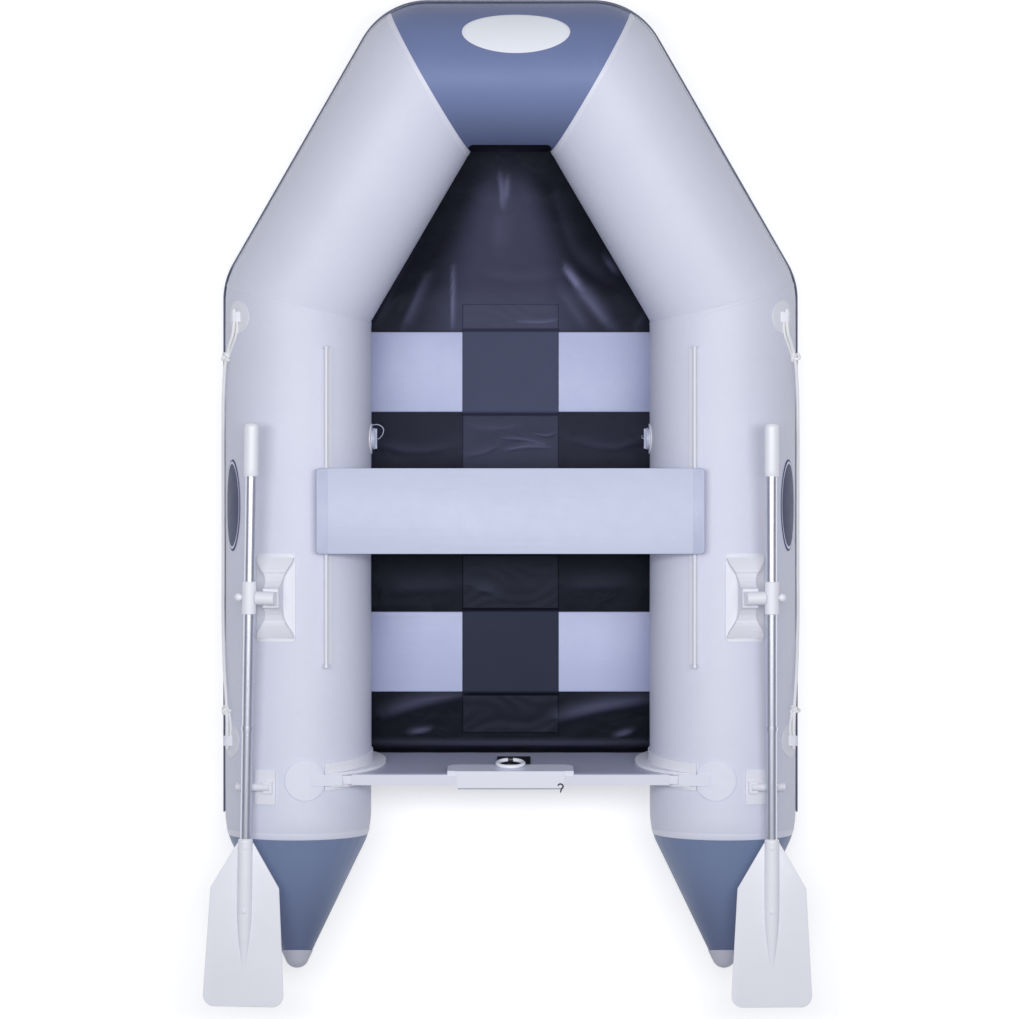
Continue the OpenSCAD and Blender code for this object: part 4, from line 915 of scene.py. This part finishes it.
def socket_form(co):
    """Swells a thin hose of 1 mm radius to the socket's width and height."""
    wide = np.interp(-NECK - co[:, 1], socket_run, np.interp(socket_run, *SOCKET.T))
    flat = np.interp(-NECK - co[:, 1], [0, 0.1, 0.2, 0.335], [1, 1, 0.8, 0.5])
    co[:, 0] *= wide / 0.001
    co[:, 2] *= np.minimum(wide, 0.0174) / 0.001 * flat
    return co


for side in SIDES:
    place = oar_matrix(side) @ turn("y", -LEAN)

    def blade_piece(name, mesh, sharp=60, replaces=()):
        mesh = placed(mesh, place, side)
        add_piece(f"{side}_blade_{name}", mesh, plastic, side + "_blade_half", replaces, sharp)

    blade_piece("plate", solid_of(blade_line, -0.0025, 0.0025, 0.0016), sharp=50, replaces=[side + "_blade"])
    blade_piece("socket", moved(hose(along_y(-NECK - socket_run), 0.001, 28), socket_form))
    for k, (at, top) in enumerate(((0.022, 0.0184), (0.173, 0.0176))):
        blade_piece(f"rivet_{k}", solid_of(arc(0, -NECK - at, 0.0046, 0, 345, 24), 0.0148, top, 0.0012))
    grip = placed(hose(along_y(grip_run), grip_fat, 36), oar_matrix(side), side)
    add_piece(side + "_grip_sleeve", grip, plastic, side + "_oar", [side + "_grip"], 50)
print("blades and grips made")

# %% [markdown]
# ## Oval plates
# They are left bare: a plain field with a rim, where the real ones carry lettering.

# %% Plates
def bare_plate(name, field, *bands):
    """A plain field, with bands of other colours between shares of the way from its middle to its edge."""
    p = moulded(name, field, 0.45, coat=0.0)
    rho = p.axes(uv=True)[0]
    for low, high, colour in bands:
        p.tint(rho.step(low - 0.004, low + 0.004) * rho.step(high + 0.004, high - 0.004), colour)
    return p.done()


side_paint = bare_plate("side_plate_finish", srgb(62, 69, 104), (0.90, 0.955, srgb(214, 216, 236)),
                        (0.955, 1.1, srgb(70, 78, 118)))
bow_paint = bare_plate("bow_plate_finish", srgb(243, 247, 255), (0.93, 1.1, srgb(240, 242, 252)))
PLATE_T = 0.002


def oval_plate(name, tube, angle, at, wide, long, material, slot):
    """An oval glued on a tube, its middle at an angle from the crown and a run along the axis."""
    rho = np.r_[np.linspace(0.001, 0.95, 18), 0.975, 0.99, 1.0, 1.0][:, None]
    lift = GLUE + PLATE_T * np.r_[np.ones(18), 0.93, 0.72, 0.35, 0.0]
    psi = np.linspace(0, math.tau, 121)
    theta = angle + np.arcsin(wide / 2 * rho * np.cos(psi) / (TUBE_R + PLATE_T))
    _, cut, turn_in, _, _ = tube.spread(theta)
    runs = at + long / 2 * rho * np.sin(psi) + turn_in * TUBE_R - cut
    pts = tube.at(theta, runs, np.broadcast_to(lift[:, None], runs.shape))
    mesh = grid_mesh(pts[:, :-1], rho, psi, wrap=True, turn=not tube.mirror)
    add_piece(name, mesh, material, replaces=[slot if slot == "bow_plate" else "side_plates"])


for side in SIDES:
    oval_plate(side + "_oval_plate", side_tubes[side], math.radians(59), -0.00477 - TAPER[1], 0.068, 0.218,
               side_paint, "side_plate")
oval_plate("bow_oval_plate", bow_tube, math.radians(-29), bow_tube.length / 2 + 0.013, 0.111, 0.252,
           bow_paint, "bow_plate")
print("three bare plates made")

# %% [markdown]
# ## Lifelines
# A braided line on each side runs from the front pad's eye to the rear pad's, and is tied back on itself.

# %% Lifelines
def knot_line(centre, way, size):
    """An overhand knot's line about a point of the rope."""
    t = np.linspace(0, math.tau, 90, endpoint=False)
    local = np.stack([np.sin(t) + 2 * np.sin(2 * t), np.cos(t) - 2 * np.cos(2 * t), -np.sin(3 * t)], 1)
    local = local * (0.30, 0.36, 0.42)
    side = unit(np.cross(way, (0, 0, 1)))
    up = np.cross(side, way)
    return centre + size * (local[:, :1] * way + local[:, 1:2] * side + local[:, 2:] * up)


def off_line(line, share, out):
    """A line beside another: it starts and ends on it, and lies off it by a distance between."""
    side = units(np.cross(units(np.gradient(line, axis=0)), (0, 0, 1.0)))
    return line + side * (out * share)[:, None] + np.array((0, 0, 0.002)) * share[:, None]


def rope_piece(name, line, radius, sides, closed=False, replaces=()):
    return add_piece(name, hose(line, radius, sides, closed), rope_finish, replaces=replaces)


TAIL_R, KNOT_R, KNOT_SIZE = 0.0034, 0.0036, 0.0105
for side, sign in SIDES.items():
    line = smooth_line(LIFELINE, 8) * (1 if sign > 0 else MIRROR)
    rope = rope_piece(side + "_lifeline_rope", line, LINE_D / 2, 16, replaces=[side + "_lifeline"])
    for tag, low, high in (("front", 0.347, 0.446), ("rear", -0.574, -0.490)):
        part = line[(line[:, 1] > low) & (line[:, 1] < high)]
        share = np.sin(np.linspace(0.08, 0.92, len(part)) * math.pi) ** 0.4
        rope_piece(f"{side}_{tag}_tail", off_line(part, share, 0.0085 * sign), TAIL_R, 12)
        at, way = (part[-1], part[-1] - part[-2]) if tag == "front" else (part[0], part[1] - part[0])
        rope_piece(f"{side}_{tag}_knot", knot_line(at, unit(way), KNOT_SIZE), KNOT_R, 12, closed=True)
    run = float(runs_of(line)[-1])
print("lifelines:", round(run, 3), "m each")

# %% [markdown]
# ## Small fittings
# The valves' tethers, the ends of the seat tracks' beads, the outer motor plate's hook, and a grey strip along that
# plate's aft edge, which is a painted shadow line.

# %% Small fittings
VALVE_TURN = math.radians(-90)
TETHERS = {  # mm ahead, out and up from the cap's middle: a small loop to port, tucked under the cap to starboard
    "port": ((32.5, 0, 4), (34, 10, 9), (31, 20, 12), (23, 27, 12), (13, 26, 9), (5, 21, 4), (0, 15.5, 0),
             (0, 11.8, 0)),
    "starboard": ((4, 0, -32.5), (6, 7, -34), (8, 13.5, -28), (6, 15.8, -16), (2, 15, -4), (0, 11.8, 0)),
}
bead_fat = 0.004 * np.array([1, 1, 1.02, 1.06, 1.12, 1.18, 1.2, 1.18, 1.1, 0.95, 0.7, 0.35])
valve_run = math.asin(SEAM_BACK / TUBE_R) * TUBE_R + VALVE_Y - TAPER[1]
BEAD_X, BEAD_Z = 0.43325, 0.34706


def fitting(name, line, radius, sides, material):
    add_piece(name, hose(line, radius, sides), material)


for side in TETHERS:
    on_tube = side_tubes[side].at
    centre = on_tube(VALVE_TURN, valve_run, 0.003)
    out = unit(on_tube(VALVE_TURN, valve_run, 0.1) - on_tube(VALVE_TURN, valve_run, 0.0))
    up = unit(on_tube(VALVE_TURN + 0.01, valve_run, 0.0) - on_tube(VALVE_TURN, valve_run, 0.0))
    tether = [centre + (0, y / 1000, 0) + out * (o / 1000) + up * (z / 1000) for y, o, z in TETHERS[side]]
    fitting(side + "_valve_tether", smooth_line(tether, 10), 0.0011, 10, grey_plastic)
    for tag, at, far in (("front", 0.3642, 0.006), ("rear", -0.3798, -0.010)):
        bead = [(SIDES[side] * BEAD_X, at + far * t, BEAD_Z) for t in np.linspace(0, 1, 12)]
        fitting(f"{side}_track_{tag}_end", bead, bead_fat, 14, plastic)

plate = nodes["outer_motor_plate"]
low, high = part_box("outer_motor_plate")
# A grey strip along the outer plate's aft top edge: a painted shadow line
shadow_line = [(x, low[1] - 0.001, high[2] - 0.003) for x in np.linspace(low[0] + 0.004, high[0] - 0.004, 24)]
fitting("plate_shadow_line", shadow_line, 0.0018, 10, shadow_grey)
faces = [f.vertices[:] for f in plate.data.polygons]
plate_tree = BVHTree.FromPolygons([v.co[:] for v in plate.data.vertices], faces)
lip = np.array(ray_to(*POINTS["wire_hook"], plate_tree))
hook = [lip + np.array(mm) / 1000 for mm in (
    (-7, 4, 1.2), (-6, 8, 4), (-1, 10, 5), (4, 7, 5), (4.5, 2, 4), (1, -2, 3), (0, -6, 1), (-1, -10, -4))]
fitting("wire_hook", smooth_line(hook, 8), 0.0017, 10, hook_wire)
print("fittings made")

# %% [markdown]
# ## Finishes of the CAD parts that keep their own shape

# %% Dress the CAD nodes
def dress(material, single=(), pairs=()):
    for name in [*single, *(f"{side}_{name}" for name in pairs for side in SIDES)]:
        nodes[name].data.materials.clear()
        nodes[name].data.materials.append(material)


dress(tube_fabric, ["chamber_baffle"])
dress(cap_rubber, ["cone_tip_caps"])
dress(board_finish, ["transom_board"])
dress(trim_plastic, ["transom_trim"])
dress(weld_fabric, pairs=["transom_tie"])
dress(plate_plastic, ["inner_motor_plate", "outer_motor_plate"])
dress(plastic, ["safety_ring", "seat_channels"], ["swivel", "pin_knob", "oar_collar", "blade"])
dress(soft_plastic, pairs=["transom_holder", "seat_track", "valve", "oarlock_base", "oar_rest", "lifeline_pads"])
dress(grey_plastic, pairs=["valve_cap"])
dress(patch_fabric, ["ring_patch"])
dress(metal, pairs=["upper_shaft", "lower_shaft"])
print("CAD nodes dressed:", sum(not n.hide_render for n in nodes.values()))

# %% [markdown]
# ## Stage, light and the record of what shows where

# %% Floor and studio light
GROUND = 30
corners = [(x * GROUND, y * GROUND, -0.002) for x, y in ((-1, -1), (1, -1), (1, 1), (-1, 1))]
ground = mesh_of(corners, [(0, 1, 2, 3)])
ground.name = "ground"
ground_paint = Paint("studio_floor", (0.80, 0.80, 0.81), 0.9, Emission_Strength=0.5).vary(0.01, 3)
seen = [ground_paint.node("LightPath", out=f"Is {ray} Ray") for ray in ("Camera", "Glossy", "Transmission")]
ground_paint.feed(ground_paint.inputs["Emission Color"], seen[0] + seen[1] + seen[2])
ground.materials.append(ground_paint.done())
ground_piece = linked("ground", ground)
ground_piece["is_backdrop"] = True

world = bpy.data.worlds.new("studio")
bpy.context.scene.world = world
world.use_nodes = True
background = world.node_tree.nodes["Background"]
background.inputs["Color"].default_value = (0.90, 0.92, 1.0, 1)
background.inputs["Strength"].default_value = 0.27


def softbox(name, at, size, power, target):
    data = bpy.data.lights.new(name, "AREA")
    data.shape, data.size, data.size_y = "RECTANGLE", size[0], size[1]
    data.energy = power
    light = linked(name, data)
    light.location = at
    light.rotation_euler = (Vector(target) - Vector(at)).to_track_quat("-Z", "Y").to_euler()
    light.visible_camera = False


# A frame of softboxes overhead: the flat floor mirrors the dark middle, and its folds catch the frame
for side, sign in (("port", -1), ("starboard", 1)):
    softbox(side + "_softbox", (sign * 1.5, 0.3, 5.2), (1.2, 3.4), 92, (sign * 0.3, 0.2, 0.2))
softbox("bow_softbox", (0.0, 2.1, 5.2), (1.8, 0.9), 10, (0, 0.6, 0.2))
view = bpy.context.scene.view_settings
view.view_transform, view.look, view.exposure, view.gamma = "Standard", "None", 0.0, 1.0
print("stage set")

# %% [markdown]
# The image points are held against the finished pieces.

# %% Points
bpy.context.view_layer.update()
shown = {o.name: np.array([pixel(v.co) for v in o.data.vertices]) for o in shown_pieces() if o.type == "MESH"}


def middle(px):
    """The middle of what shows."""
    return (px.min(0) + px.max(0)) / 2


shows = {name: middle(shown[piece]) for name, piece in (
    ("bow_plate", "bow_oval_plate"), ("wire_hook", "wire_hook"), ("port_valve_tether", "port_valve_tether"))}
for side, name, end in (("port", "seat_left", np.min), ("starboard", "seat_right", np.max)):
    cap = shown[side + "_seat_cap"]
    shows[name] = (end(cap[:, 0]), middle(cap)[1])
for side, sign in SIDES.items():
    pads, tie, tips = shown[side + "_lifeline_pads"], shown[side + "_transom_tie"], shown["cone_tip_caps"]
    outer = sign * tie[:, 0] > (sign * tie[:, 0]).max() - np.ptp(tie[:, 1])
    tips = tips[(tips[:, 0] - WIDTH / 2) * sign > 0]
    shows[side + "_side_plate"] = middle(shown[side + "_oval_plate"])
    shows[side + "_front_pad"] = middle(pads[pads[:, 1] < HEIGHT / 2])
    shows[side + "_tie"] = middle(tie[outer])
    shows[side + "_knot"] = middle(shown[side + "_front_knot"])
    shows[side + "_cone_tip"] = tips[tips[:, 1].argmax()]
({name + axis: shows[name][i] - POINTS[name][i]
              for name in POINTS for i, axis in enumerate(("_x", "_y"))})
